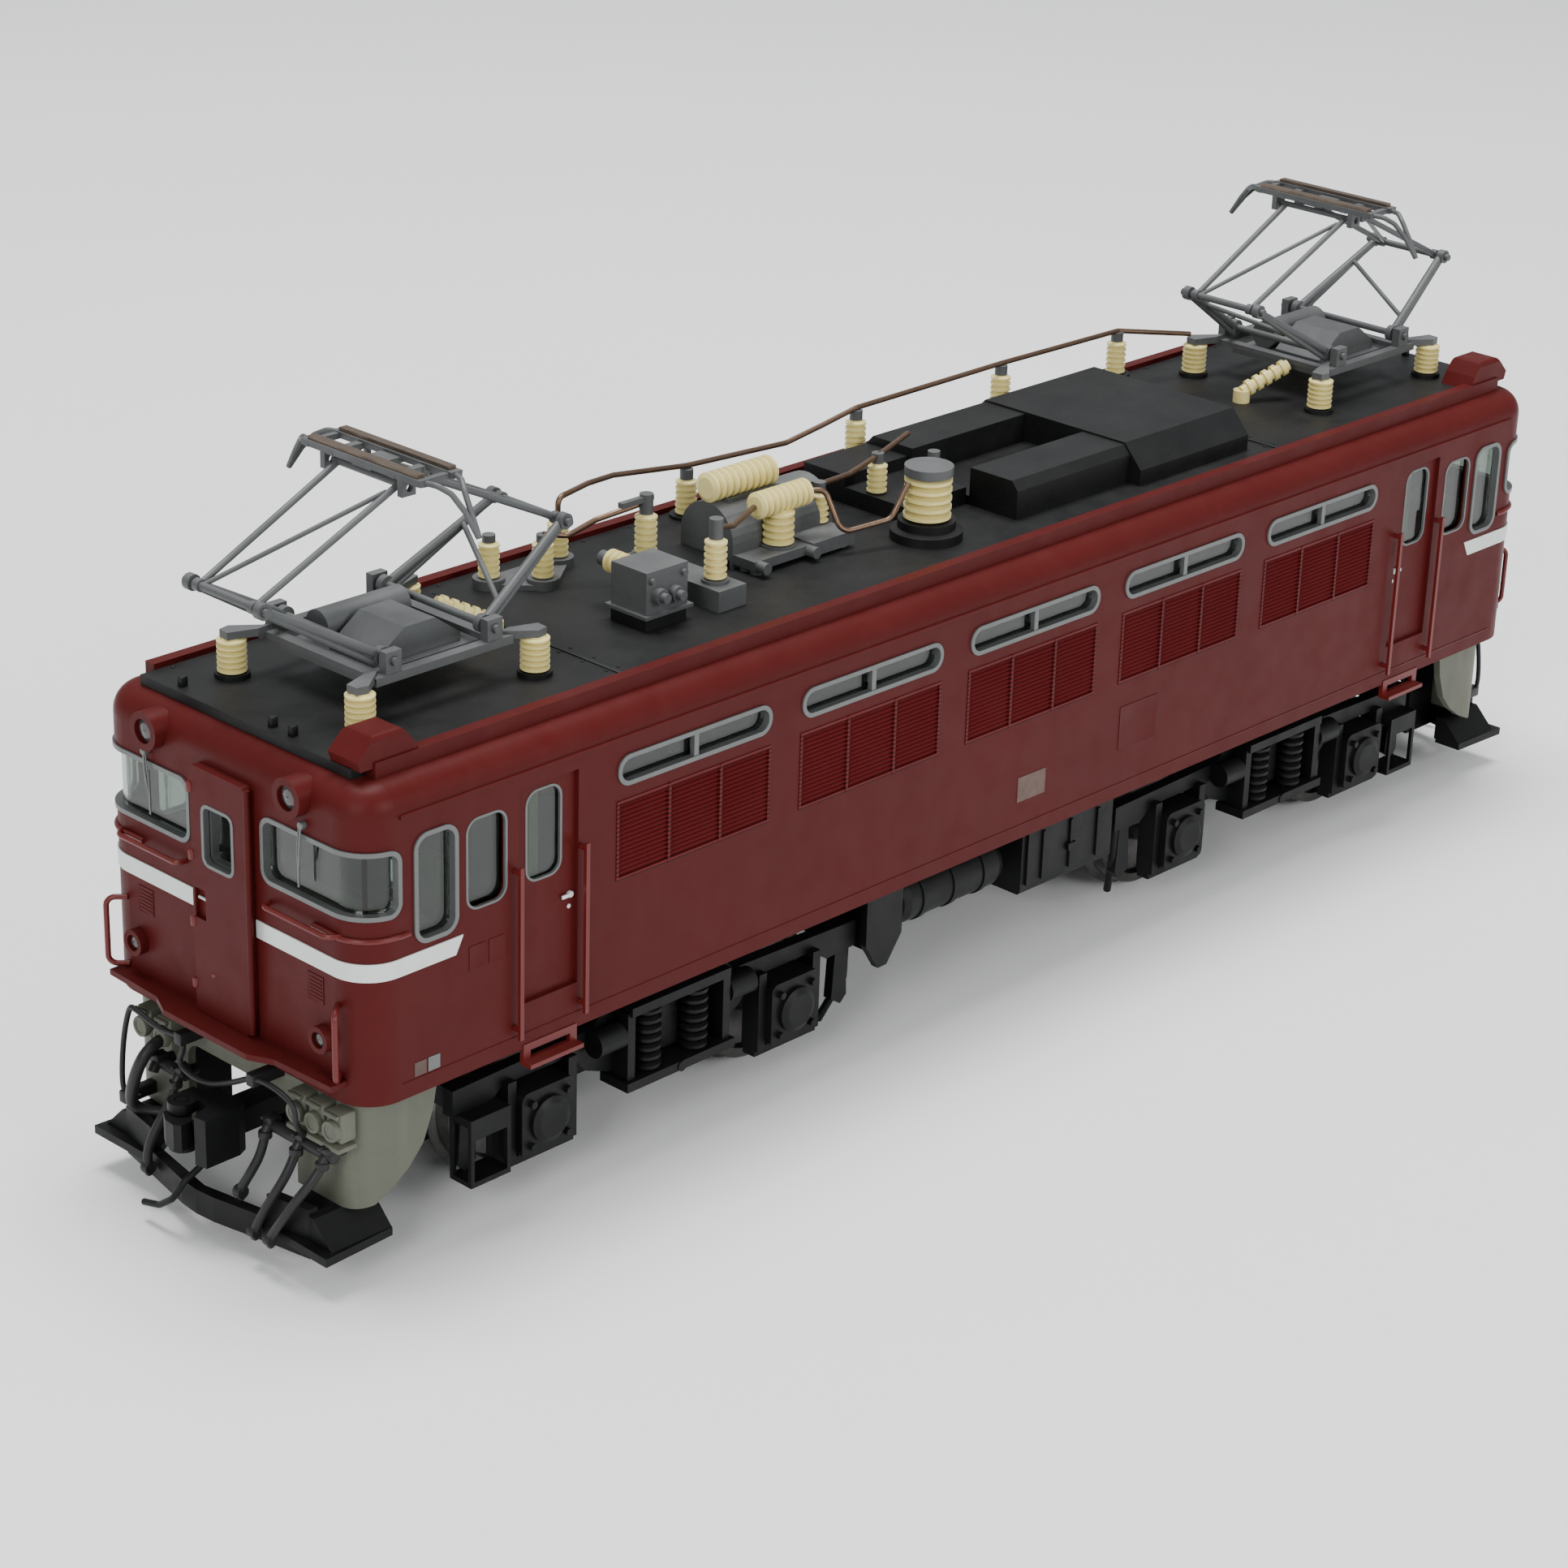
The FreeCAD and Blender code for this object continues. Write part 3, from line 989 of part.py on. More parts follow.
def make_bogie(end, name):
    mid = end * size("bogie_centre")
    top, idlers, axles = gear_places(mid)
    half_gear = size("gear_width") / 2
    axle_z, worm_z = size("axle_height"), size("worm_height")

    # gearbox: a hollow case round the gear train, with a round tower that turns in the floor
    case = prism("y", (-3.3, 3.3), [(mid - 21.6, 2.0), (mid + 21.6, 2.0), (mid + 21.6, 11.6),
                                    (mid + 13.2, 15.8), (mid - 13.2, 15.8), (mid - 21.6, 11.6)])
    collar = rod("z", "dims.collar_radius", ("15.0", "dims.floor_high + 0.25"), (mid, 0))
    ring = rod("z", 10.4, ("dims.floor_high + 0.25", "dims.floor_high + 0.8"), (mid, 0))
    tower = block((mid - 7.0, mid + 7.0), (-3.4, 3.4), (21.0, worm_z + 2.7))
    lift = [rod("z", 11.6, (16.4, "dims.floor_low - 0.15"), (mid, 0))]
    beams = [block((mid - 5.4, mid + 5.4), (-12.3, 12.3), (13.6, 16.0))]
    beams += [block(about(mid + way * 24.3, 0.6), (-12.3, 12.3), (10.6, 12.6)) for way in (-1, 1)]
    beams += [block((mid + way * 22.5 - 2.4, mid + way * 22.5 + 2.4), (-1.6, 1.6), (10.0, 12.2))
              for way in (-1, 1)]
    cavity = prism("y", (-1.55, 1.55), [(mid - 20.8, 2.6), (mid + 20.8, 2.6),
                                        (mid + 20.8, 11.2), (mid + 12.8, 15.0),
                                        (mid + 9.6, 15.0), (mid + 8.7, 15.75),
                                        (mid + 6.0, 15.75), (mid + 6.0, 23.6), (mid - 6.0, 23.6),
                                        (mid - 6.0, 15.75), (mid - 8.7, 15.75),
                                        (mid - 9.6, 15.0), (mid - 12.8, 15.0),
                                        (mid - 20.8, 11.2)])
    worm_room = rod("x", 2.05, (mid - 6.2, mid + 6.2), (0, worm_z))
    shaft_bore = rod("x", 0.86, (mid - 8, mid + 8), (0, worm_z))
    bores = [rod("y", "dims.axle_radius + 0.05", (-4, 4), place) for place in axles.values()]
    bores += [rod("y", 0.85, (-2.6, 2.6), place) for place in list(idlers.values()) + [top]]
    frame = cut(fuse([case, collar, ring, tower] + lift + beams),
                [cavity, worm_room, shaft_bore] + bores)
    node(f"{name}_frame", frame)

    # side frames: beam, axle boxes, spring plank, brake hangers, step and sand pipes
    parts = []
    for side in SIDES:
        beam = prism("y", flip(side, 12.3, 13.6), [
            (mid - 25.4, 10.4), (mid - 25.4, 13.0), (mid - 9.0, 13.4), (mid - 7.0, 15.2),
            (mid + 7.0, 15.2), (mid + 9.0, 13.4), (mid + 25.4, 13.0), (mid + 25.4, 10.4),
            (mid + 21.4, 10.2), (mid + 19.6, 11.6), (mid + 11.6, 11.6), (mid + 9.6, 9.4),
            (mid + 7.0, 8.4), (mid - 7.0, 8.4), (mid - 9.6, 9.4), (mid - 11.6, 11.6),
            (mid - 19.6, 11.6), (mid - 21.4, 10.2)])
        details = [beam]
        plank = block((mid - 6.8, mid + 6.8), flip(side, 12.4, 16.0), (7.0, 7.9))
        cap = block((mid - 6.2, mid + 6.2), flip(side, 12.4, 15.9), (14.3, 15.2))
        details += [plank, cap]
        details += [block(about(mid + x, 0.45), flip(side, 13.2, 15.6), (7.4, 14.6))
                    for x in (-6.0, 6.0)]
        details.append(rod("y", 0.5, flip(side, 13.0, 16.1), (mid, 7.4)))
        for way in (-1, 1):
            x = mid + way * size("half_wheelbase")
            box = pillow("y", 0.8, (x - 3.15, x + 3.15), flip(side, 12.3, 15.2), (4.4, 10.8))
            cover = turned("y", (x, axle_z), [(0, side * 15.0), (2.2, side * 15.0),
                                              (2.2, side * 15.6), (1.6, side * 15.9),
                                              (0, side * 15.9)])
            guides = [block(about(x + g, 0.5), flip(side, 12.3, 14.4), (4.0, 12.0))
                      for g in (-3.6, 3.6)]
            tie = block((x - 4.1, x + 4.1), flip(side, 12.5, 14.0), (3.4, 4.2))
            studs = [rod("y", 0.35, flip(side, 15.0, 15.7), (x + g, axle_z + k))
                     for g in (-2.1, 2.1) for k in (-2.1, 2.1)]
            hanger = prism("y", flip(side, 12.4, 13.4), [
                (x + way * 8.6, 13.0), (x + way * 7.4, 13.0), (x + way * 6.9, 5.4),
                (x + way * 8.2, 4.6), (x + way * 9.0, 5.4)])
            details += [box, cover, tie, hanger] + guides + studs
            cylinder = rod("x", 1.25, (x - way * 7.4 - 1.6, x - way * 7.4 + 1.6),
                           (side * 14.6, 12.4))
            details.append(cylinder)
        step_x = mid + end * 18.2 + end * 4.4
        loop = cut(block(about(step_x, 2.3), flip(side, 12.6, 15.4), (4.0, 10.6)),
                   [block(about(step_x, 1.9), flip(side, 10.0, 17.0), (4.5, 8.6)),
                    block(about(step_x, 3.0), flip(side, 13.0, 15.0), (4.5, 9.8))])
        details.append(loop)
        pipe_x = mid - end * 24.6
        details.append(bent_bar([(pipe_x, side * 13.0, 11.2), (pipe_x, side * 12.9, 7.0),
                                 (pipe_x + end * 1.6, side * 11.3, 2.4)], 0.4))
        socket = [rod("y", 0.82, flip(side, 12.0, 13.4), place) for place in axles.values()]
        socket += [rod("z", 1.43, (7.9, 14.3), (mid + x, side * 14.3)) for x in (-2.95, 2.95)]
        parts.append(cut(fuse(details), socket))
    node(f"{name}_sideframes", group(parts))

    coils = []
    for side in SIDES:
        for x in (-2.95, 2.95):
            turns = [turned("z", (mid + x, side * 14.3), [
                (0, z), (1.05, z), (1.4, z + 0.2), (1.4, z + 0.5), (1.05, z + 0.7), (0, z + 0.7)])
                for z in [7.9 + i * 0.914 for i in range(7)]]
            coils.append(fuse(turns + [rod("z", 0.8, (7.9, 14.3), (mid + x, side * 14.3))]))
    node(f"{name}_springs", group(coils))

    worm = [rod("x", 0.8, (mid - 6.9, mid + 6.9), (0, worm_z))]
    thread = [(0, mid - 5.0)]
    for i in range(10):
        a = mid - 5.0 + i
        thread += [(1.05, a), (size("worm_radius"), a + 0.3), (size("worm_radius"), a + 0.6),
                   (1.05, a + 0.9)]
    thread += [(1.05, mid + 5.0), (0, mid + 5.0)]
    worm.append(turned("x", (0, worm_z), thread))
    inner = mid - end * 7.15
    cup = [(0, inner), (2.75, inner), (2.75, inner - end * 3.6), (2.2, inner - end * 3.6),
           (2.2, inner - end * 0.5), (0, inner - end * 0.5)]
    worm.append(turned("x", (0, worm_z), cup))
    worm.append(rod("x", 0.8, flip(end, abs(inner) - 0.2, abs(inner) + 0.6), (0, worm_z)))
    node(f"{name}_worm", fuse(worm))

    top_phase = math.pi / 2 + math.pi / TEETH["centre"]
    node(f"{name}_worm_wheel", fuse([
        prism("y", (-half_gear, half_gear), gear_points(top, TEETH["centre"], top_phase)),
        rod("y", 0.8, (-2.5, 2.5), top)]))
    for way, label in ((-1, "front"), (1, "rear")):
        idler_phase = meshed_phase(top, idlers[way], TEETH["centre"], TEETH["idler"], top_phase)
        node(f"{name}_idler_{label}", fuse([
            prism("y", (-half_gear, half_gear),
                  gear_points(idlers[way], TEETH["idler"], idler_phase)),
            rod("y", 0.8, (-2.5, 2.5), idlers[way])]))
        axle_phase = meshed_phase(idlers[way], axles[way], TEETH["idler"], TEETH["axle"],
                                  idler_phase)
        pieces = [rod("y", "dims.axle_radius", (-10.6, 10.6), axles[way]),
                  rod("y", 0.74, (-13.0, 13.0), axles[way]),
                  prism("y", (-half_gear, half_gear),
                        gear_points(axles[way], TEETH["axle"], axle_phase))]
        pieces += [turned("y", axles[way], wheel_profile(side)) for side in SIDES]
        node(f"{name}_wheelset_{label}", fuse(pieces))


# ---------------------------------------------------------------- couplers

def make_coupler(end, name):
    """Knuckle coupler: drawbar with its eye round the pin, head, hinged knuckle, trip pin."""
    pivot = end * size("coupler_pivot")
    z = size("coupler_height")
    hand = -end
    eye = rod("z", 2.3, (z - 1.2, z + 1.2), (pivot, 0))
    bar = block(flip(end, abs(pivot), 85.4), (-1.35, 1.35), (z - 1.15, z + 1.15))
    head = prism("z", (z - 2.3, z + 2.3), [(end * 83.6, hand * -2.0), (end * 84.6, hand * -2.5),
                                           (end * 88.2, hand * -2.5), (end * 88.4, hand * -1.2),
                                           (end * 86.4, hand * -0.4), (end * 86.2, hand * 1.4),
                                           (end * 85.4, hand * 2.2), (end * 83.6, hand * 1.6)])
    pin = bent_bar([(end * 85.6, 0.0, z - 2.0), (end * 86.9, hand * 0.2, 6.4),
                    (end * 88.4, hand * 0.5, 5.4), (end * 89.0, hand * 1.4, 3.6),
                    (end * 89.1, hand * 3.2, 2.3), (end * 89.1, hand * 5.4, 1.7)], 0.3)
    hole = rod("z", 1.06, (z - 3, z + 3), (pivot, 0))
    hinge = (end * 87.2, hand * 2.0)
    slot = rod("z", 0.62, (z - 3, z + 3), hinge)
    post = rod("z", 1.25, (z + 1.35, z + 2.3), hinge)
    low_post = rod("z", 1.25, (z - 2.3, z - 1.35), hinge)
    arm = [block(flip(end, 85.0, 87.2), flip(hand, 0.9, 3.2), zs)
           for zs in ((z + 1.35, z + 2.3), (z - 2.3, z - 1.35))]
    node(f"{name}_drawbar", cut(fuse([eye, bar, head, pin, post, low_post] + arm),
                                [hole, slot]))
    claw = prism("z", (z - 1.25, z + 1.25), [
        (end * u, hand * v) for u, v in ((86.4, 1.7), (87.0, 0.9), (87.6, 0.1), (88.0, -0.2),
                                         (89.0, -0.2), (89.4, 0.4), (89.3, 1.6), (88.6, 2.8),
                                         (87.4, 3.2), (86.5, 2.7))])
    pin_rod = rod("z", 0.55, (z - 2.3, z + 2.3), hinge)
    node(f"{name}_knuckle", fuse([claw, pin_rod]))


make_shell()
make_windows()
make_louvres()
make_doors()
make_handrails()
make_lamps()
make_roof()
make_whistle_covers()
make_roof_gear()
make_collector(-1, "front_pantograph")
make_collector(1, "rear_pantograph")
make_chassis()
make_underfloor()
make_skirts()
make_ploughs()
make_motor()
make_interior()
make_bogie(-1, "front_bogie")
make_bogie(1, "rear_bogie")
make_coupler(-1, "front_coupler")
make_coupler(1, "rear_coupler")

doc.recompute()
failed = [obj.Label for obj in doc.Objects if "Invalid" in obj.State or "Error" in obj.State]
failed += [part.Label for part in nodes
           if part.Shape.isNull() or not part.Shape.isValid() or part.Shape.Volume <= 0]
if failed:
    raise RuntimeError(f"no valid shape: {', '.join(failed)}")

os.makedirs("parts", exist_ok=True)
for part in nodes:
    part.Shape.exportStep(f"parts/{part.Label}.step")
    box = part.Shape.BoundBox
    print(f"{part.Label}: {len(part.Shape.Solids)} solids, {part.Shape.Volume:.1f} mm3, "
          f"x {box.XMin:.1f}..{box.XMax:.1f} y {box.YMin:.1f}..{box.YMax:.1f} "
          f"z {box.ZMin:.1f}..{box.ZMax:.1f}")
print(len(nodes), "nodes")
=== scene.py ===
"""Finishes and fittings of a model electric locomotive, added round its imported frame."""

import json
import math

import bmesh
import bpy
from bpy.props import FloatProperty, FloatVectorProperty, PointerProperty
from bpy.types import Operator, Panel, PropertyGroup
from mathutils import Matrix, Vector


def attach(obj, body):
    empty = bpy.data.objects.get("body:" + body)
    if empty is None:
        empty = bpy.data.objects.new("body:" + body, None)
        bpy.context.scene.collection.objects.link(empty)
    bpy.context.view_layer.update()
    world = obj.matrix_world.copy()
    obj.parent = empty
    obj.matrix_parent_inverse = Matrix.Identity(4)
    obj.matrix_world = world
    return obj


bl_info = {
    "name": "Model Electric Locomotive",
    "version": (1, 0, 0),
    "blender": (4, 5, 0),
    "location": "View3D > Sidebar > Locomotive",
    "description": "Paints the frame of a model electric locomotive and adds its fine fittings",
    "category": "Object",
}

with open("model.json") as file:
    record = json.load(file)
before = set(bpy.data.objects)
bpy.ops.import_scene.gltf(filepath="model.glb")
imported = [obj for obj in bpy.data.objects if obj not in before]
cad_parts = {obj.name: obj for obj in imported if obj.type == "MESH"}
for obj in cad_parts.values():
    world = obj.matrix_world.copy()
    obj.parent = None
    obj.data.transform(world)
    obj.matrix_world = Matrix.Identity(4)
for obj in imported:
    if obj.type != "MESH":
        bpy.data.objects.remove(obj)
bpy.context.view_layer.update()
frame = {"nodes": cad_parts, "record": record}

# Lengths in this file are millimetres; X runs along the train, the near cab is at -X, Z is up.
MM = 0.001
FACE = 83.1
WALL = 17.5
CORNER = 3.6
# plain side windows of the near left cab: x span, z span, wall and corner radius
PLAIN_WINDOWS = ((-71.9, -67.5, 32.0, 40.2, 17.5, 1.35), (-64.9, -60.9, 32.2, 40.5, 17.05, 1.35))
# the lip of the lowest louvre slat and the step from slat to slat
SLAT_LOW = 29.55
SLAT_PITCH = 0.42
BODY = "locomotive_body"


def colour(name, red, green, blue, text):
    """A colour setting of the panel."""
    return FloatVectorProperty(name=name, description=text, subtype="COLOR", size=3,
                               min=0.0, max=1.0, default=(red, green, blue))


def length(name, value, text):
    """A length setting of the panel, given in millimetres."""
    return FloatProperty(name=name, description=text, unit="LENGTH", subtype="DISTANCE",
                         default=value * MM)


class LocoColours(PropertyGroup):
    """The paints of the locomotive."""
    body: colour("Body", 0.066, 0.0068, 0.0064, "Satin maroon of the body sides and ends")
    louvre: colour("Louvres", 0.118, 0.0105, 0.0118, "Deeper red of the louvre panels")
    rail: colour("Rails", 0.105, 0.0085, 0.0075, "Handrails and steps")
    roof: colour("Roof", 0.0042, 0.0044, 0.0047, "Matt black of the roof")
    running: colour("Running gear", 0.0034, 0.0036, 0.0040, "Black of the bogies and tanks")
    skirt: colour("Skirts", 0.090, 0.095, 0.072, "Warm grey of the end skirts")
    gear: colour("Roof gear", 0.078, 0.082, 0.083, "Grey of the collectors and switch gear")
    ceramic: colour("Insulators", 0.720, 0.620, 0.250, "Cream of the insulators")
    copper: colour("Wires", 0.170, 0.105, 0.070, "Brown copper of the roof wires")
    stripe: colour("Stripes", 0.600, 0.640, 0.610, "Silver white of the waist stripes")
    cab: colour("Cab", 0.200, 0.290, 0.150, "Pale green of the cab fittings")


class LocoSizes(PropertyGroup):
    """The sizes of the fine fittings."""
    stripe_low: length("Stripe bottom", 28.5, "Height of the stripes' lower edge")
    stripe_high: length("Stripe top", 30.15, "Height of the stripes' upper edge")
    stripe_thick: length("Stripe thickness", 0.12, "How far a stripe stands off the body")
    hose: length("Hose radius", 0.42, "Radius of the air hoses")
    lift_wire: length("Lift bar radius", 0.26, "Radius of the uncoupling bar")
    rivet: length("Rivet radius", 0.17, "Radius of the roof bolts")


# ---------------------------------------------------------------- modelling by operators

def clear_selection():
    """Leaves edit mode and deselects every object."""
    if bpy.context.mode != "OBJECT":
        bpy.ops.object.mode_set(mode="OBJECT")
    bpy.ops.object.select_all(action="DESELECT")


def keep_only(obj):
    """Selects one object and makes it active."""
    clear_selection()
    obj.select_set(True)
    bpy.context.view_layer.objects.active = obj


def settle(obj):
    """Moves the object's place, turn and scale into its mesh."""
    keep_only(obj)
    bpy.ops.object.transform_apply(location=True, rotation=True, scale=True)
    return obj


def apply_bevel(obj, width, segments=2, angle=30):
    """Rounds the sharp edges."""
    keep_only(obj)
    bevel = obj.modifiers.new("round", "BEVEL")
    bevel.width = width * MM
    bevel.segments = segments
    bevel.limit_method = "ANGLE"
    bevel.angle_limit = math.radians(angle)
    bpy.ops.object.modifier_apply(modifier=bevel.name)
    return obj


def add_block(low, high, bevel=0.0):
    """A block between two corners, with its edges rounded."""
    clear_selection()
    low, high = Vector(low) * MM, Vector(high) * MM
    bpy.ops.mesh.primitive_cube_add(size=1, location=(low + high) / 2)
    bpy.context.object.scale = high - low
    obj = settle(bpy.context.object)
    return apply_bevel(obj, bevel) if bevel else obj


AIMS = {"x": (0, math.pi / 2, 0), "y": (-math.pi / 2, 0, 0), "z": (0, 0, 0)}


def add_rod(axis, radius, start, end, sides=20, bevel=0.0):
    """A round bar along an axis, from the centre of one end to the centre of the other."""
    clear_selection()
    start, end = Vector(start) * MM, Vector(end) * MM
    bpy.ops.mesh.primitive_cylinder_add(vertices=sides, radius=radius * MM,
                                        depth=(end - start).length, location=(start + end) / 2,
                                        rotation=AIMS[axis])
    obj = settle(bpy.context.object)
    return apply_bevel(obj, bevel, 2, 50) if bevel else obj


def add_dome(centre, radius, flat=0.6, way="z"):
    """A rivet head or cap: a ball squashed along one axis."""
    clear_selection()
    bpy.ops.mesh.primitive_uv_sphere_add(segments=10, ring_count=6, radius=radius * MM,
                                         location=Vector(centre) * MM)
    bpy.context.object.scale = [flat if axis == way else 1.0 for axis in "xyz"]
    return settle(bpy.context.object)


def add_tube(points, radius, sides=3):
    """A smooth round tube that follows the points."""
    clear_selection()
    bpy.ops.curve.primitive_nurbs_path_add()
    obj = bpy.context.object
    curve = obj.data
    curve.splines.clear()
    spline = curve.splines.new("NURBS")
    spline.points.add(len(points) - 1)
    for spot, place in zip(spline.points, points):
        spot.co = (*(Vector(place) * MM), 1.0)
    spline.order_u = 3
    spline.use_endpoint_u = True
    spline.resolution_u = 8
    curve.bevel_depth = radius * MM
    curve.bevel_resolution = sides
    curve.use_fill_caps = True
    keep_only(obj)
    bpy.ops.object.convert(target="MESH")
    return settle(bpy.context.object)


SELECT_MODES = {"verts": "VERT", "edges": "EDGE", "faces": "FACE"}


def pick(obj, test, kind="faces"):
    """In edit mode, selects the parts whose middle and direction pass the test.

    The direction is the normal of a face or vertex, and the run of an edge.
    """
    keep_only(obj)
    bpy.ops.object.mode_set(mode="EDIT")
    bpy.ops.mesh.select_mode(type=SELECT_MODES[kind])
    bpy.ops.mesh.select_all(action="DESELECT")
    mesh = bmesh.from_edit_mesh(obj.data)
    for part in getattr(mesh, kind):
        if kind == "faces":
            middle, way = part.calc_center_median(), part.normal
        elif kind == "edges":
            middle = (part.verts[0].co + part.verts[1].co) / 2
            way = (part.verts[1].co - part.verts[0].co).normalized()
        else:
            middle, way = part.co, part.normal
        part.select_set(bool(test(middle / MM, way)))
    bmesh.update_edit_mesh(obj.data)


def inset(obj, test, rim, depth):
    """Insets the picked faces by rim and pushes them along their normals by depth."""
    pick(obj, test)
    bpy.ops.mesh.inset(thickness=rim * MM, depth=depth * MM)
    bpy.ops.object.mode_set(mode="OBJECT")
    return obj


def extrude(obj, test, move):
    """Extrudes the picked faces by a move."""
    pick(obj, test)
    bpy.ops.mesh.extrude_region_move(
        TRANSFORM_OT_translate={"value": Vector(move) * MM})
    bpy.ops.object.mode_set(mode="OBJECT")
    return obj


def joined(parts):
    """Joins pieces into one object."""
    clear_selection()
    for part in parts:
        part.select_set(True)
    bpy.context.view_layer.objects.active = parts[0]
    if len(parts) > 1:
        bpy.ops.object.join()
    return bpy.context.object


def copied(obj, change):
    """A copy with its own mesh, carried by a matrix whose lengths are in metres."""
    keep_only(obj)
    bpy.ops.object.duplicate()
    twin = bpy.context.object
    twin.data.transform(change)
    if change.determinant() < 0:
        twin.data.flip_normals()
    return twin


HALF_TURN = Matrix.Rotation(math.pi, 4, "Z")
ACROSS = Matrix.Scale(-1, 4, Vector((0, 1, 0)))


def shift(x, y=0.0, z=0.0):
    """A move in millimetres."""
    return Matrix.Translation(Vector((x, y, z)) * MM)


def at_two(obj):
    """The piece and its half-turned twin."""
    return [obj, copied(obj, HALF_TURN)]


def at_four(obj):
    """The piece at both ends of both sides."""
    return at_two(obj) + [copied(obj, ACROSS), copied(obj, ACROSS @ HALF_TURN)]


def mirrored(obj):
    """The piece and its mirror image on the other side, joined."""
    return joined([obj, copied(obj, ACROSS)])


def finish_piece(obj, name, slot, body=BODY, angle=40):
    """Names a piece, paints it, shades it smooth and sets what it rides on."""
    keep_only(obj)
    obj.name = name
    obj.data.name = name
    bpy.ops.object.mode_set(mode="EDIT")
    bpy.ops.mesh.select_all(action="SELECT")
    bpy.ops.mesh.remove_doubles(threshold=0.000002)
    bpy.ops.mesh.normals_make_consistent(inside=False)
    bpy.ops.object.mode_set(mode="OBJECT")
    bpy.ops.object.shade_smooth_by_angle(angle=math.radians(angle))
    obj.data.materials.clear()
    obj.data.materials.append(bpy.data.materials[slot])
    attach(obj, body)
    return obj


def at_both_ends(obj, name, slot, angle=40):
    """Finishes a piece of the near end and its half-turned twin at the far end."""
    near, far = at_two(obj)
    finish_piece(near, f"front_{name}", slot, BODY, angle)
    finish_piece(far, f"rear_{name}", slot, BODY, angle)


# ---------------------------------------------------------------- paints and metals

class Finish:
    """The node tree of one material, built up from the object's own coordinates."""

    def __init__(self, name):
        self.material = bpy.data.materials.get(name) or bpy.data.materials.new(name)
        self.material.use_nodes = True
        tree = self.material.node_tree
        tree.nodes.clear()
        self.tree = tree
        self.shader = tree.nodes.new("ShaderNodeBsdfPrincipled")
        output = tree.nodes.new("ShaderNodeOutputMaterial")
        tree.links.new(self.shader.outputs["BSDF"], output.inputs["Surface"])
        self.place = tree.nodes.new("ShaderNodeTexCoord").outputs["Object"]

    def link(self, socket, target):
        self.tree.links.new(socket, target)

    def stretched(self, x, y, z):
        """The coordinates scaled along each axis."""
        mapping = self.tree.nodes.new("ShaderNodeMapping")
        mapping.inputs["Scale"].default_value = (x, y, z)
        self.link(self.place, mapping.inputs["Vector"])
        return mapping.outputs["Vector"]

    def noise(self, grain, detail=3.0, place=None):
        """Soft noise whose blotches are about grain millimetres wide."""
        node = self.tree.nodes.new("ShaderNodeTexNoise")
        node.inputs["Scale"].default_value = 1.0 / (grain * MM)
        node.inputs["Detail"].default_value = detail
        self.link(place or self.place, node.inputs["Vector"])
        return node.outputs["Fac"]

    def spread(self, value, low, high, to_low, to_high):
        """Maps a value from one span to another."""
        node = self.tree.nodes.new("ShaderNodeMapRange")
        for socket, number in zip(("From Min", "From Max", "To Min", "To Max"),
                                  (low, high, to_low, to_high)):
            node.inputs[socket].default_value = number
        self.link(value, node.inputs["Value"])
        return node.outputs["Result"]

    def times(self, first, second):
        node = self.tree.nodes.new("ShaderNodeMath")
        node.operation = "MULTIPLY"
        node.use_clamp = True
        self.link(first, node.inputs[0])
        self.link(second, node.inputs[1])
        return node.outputs["Value"]

    def mix(self, factor, first, second):
        """Blends two colours, each a tuple or a socket."""
        node = self.tree.nodes.new("ShaderNodeMix")
        node.data_type = "RGBA"
        self.link(factor, node.inputs["Factor"])
        for socket, value in ((node.inputs[6], first), (node.inputs[7], second)):
            if isinstance(value, bpy.types.NodeSocket):
                self.link(value, socket)
            else:
                socket.default_value = (*value, 1.0)
        return node.outputs[2]

    def upward(self):
        """1 on faces that look up, 0 on the rest."""
        normal = self.tree.nodes.new("ShaderNodeNewGeometry").outputs["Normal"]
        parts = self.tree.nodes.new("ShaderNodeSeparateXYZ")
        self.link(normal, parts.inputs["Vector"])
        return self.spread(parts.outputs["Z"], 0.35, 0.95, 0.0, 1.0)

    def steps(self, low, pitch):
        """Rises from 0 to 1 over each step of height, for steps of pitch millimetres."""
        parts = self.tree.nodes.new("ShaderNodeSeparateXYZ")
        self.link(self.place, parts.inputs["Vector"])
        count = self.spread(parts.outputs["Z"], low * MM, (low + pitch) * MM, 0.0, 1.0)
        count.node.clamp = False
        part = self.tree.nodes.new("ShaderNodeMath")
        part.operation = "FRACT"
        self.link(count, part.inputs[0])
        return part.outputs["Value"]

    def bump(self, value, depth, strength=1.0, under=None):
        """A bump of the given depth in millimetres."""
        node = self.tree.nodes.new("ShaderNodeBump")
        node.inputs["Distance"].default_value = depth * MM
        node.inputs["Strength"].default_value = strength
        self.link(value, node.inputs["Height"])
        if under is not None:
            self.link(under, node.inputs["Normal"])
        return node.outputs["Normal"]

    def set(self, **values):
        """Sets constant sockets of the shader."""
        for name, value in values.items():
            self.shader.inputs[name.replace("_", " ").title()
                               .replace("Ior", "IOR")].default_value = value


def scaled(rgb, share):
    return tuple(min(1.0, channel * share) for channel in rgb)


def toward(rgb, other, share):
    return tuple(a + (b - a) * share for a, b in zip(rgb, other))


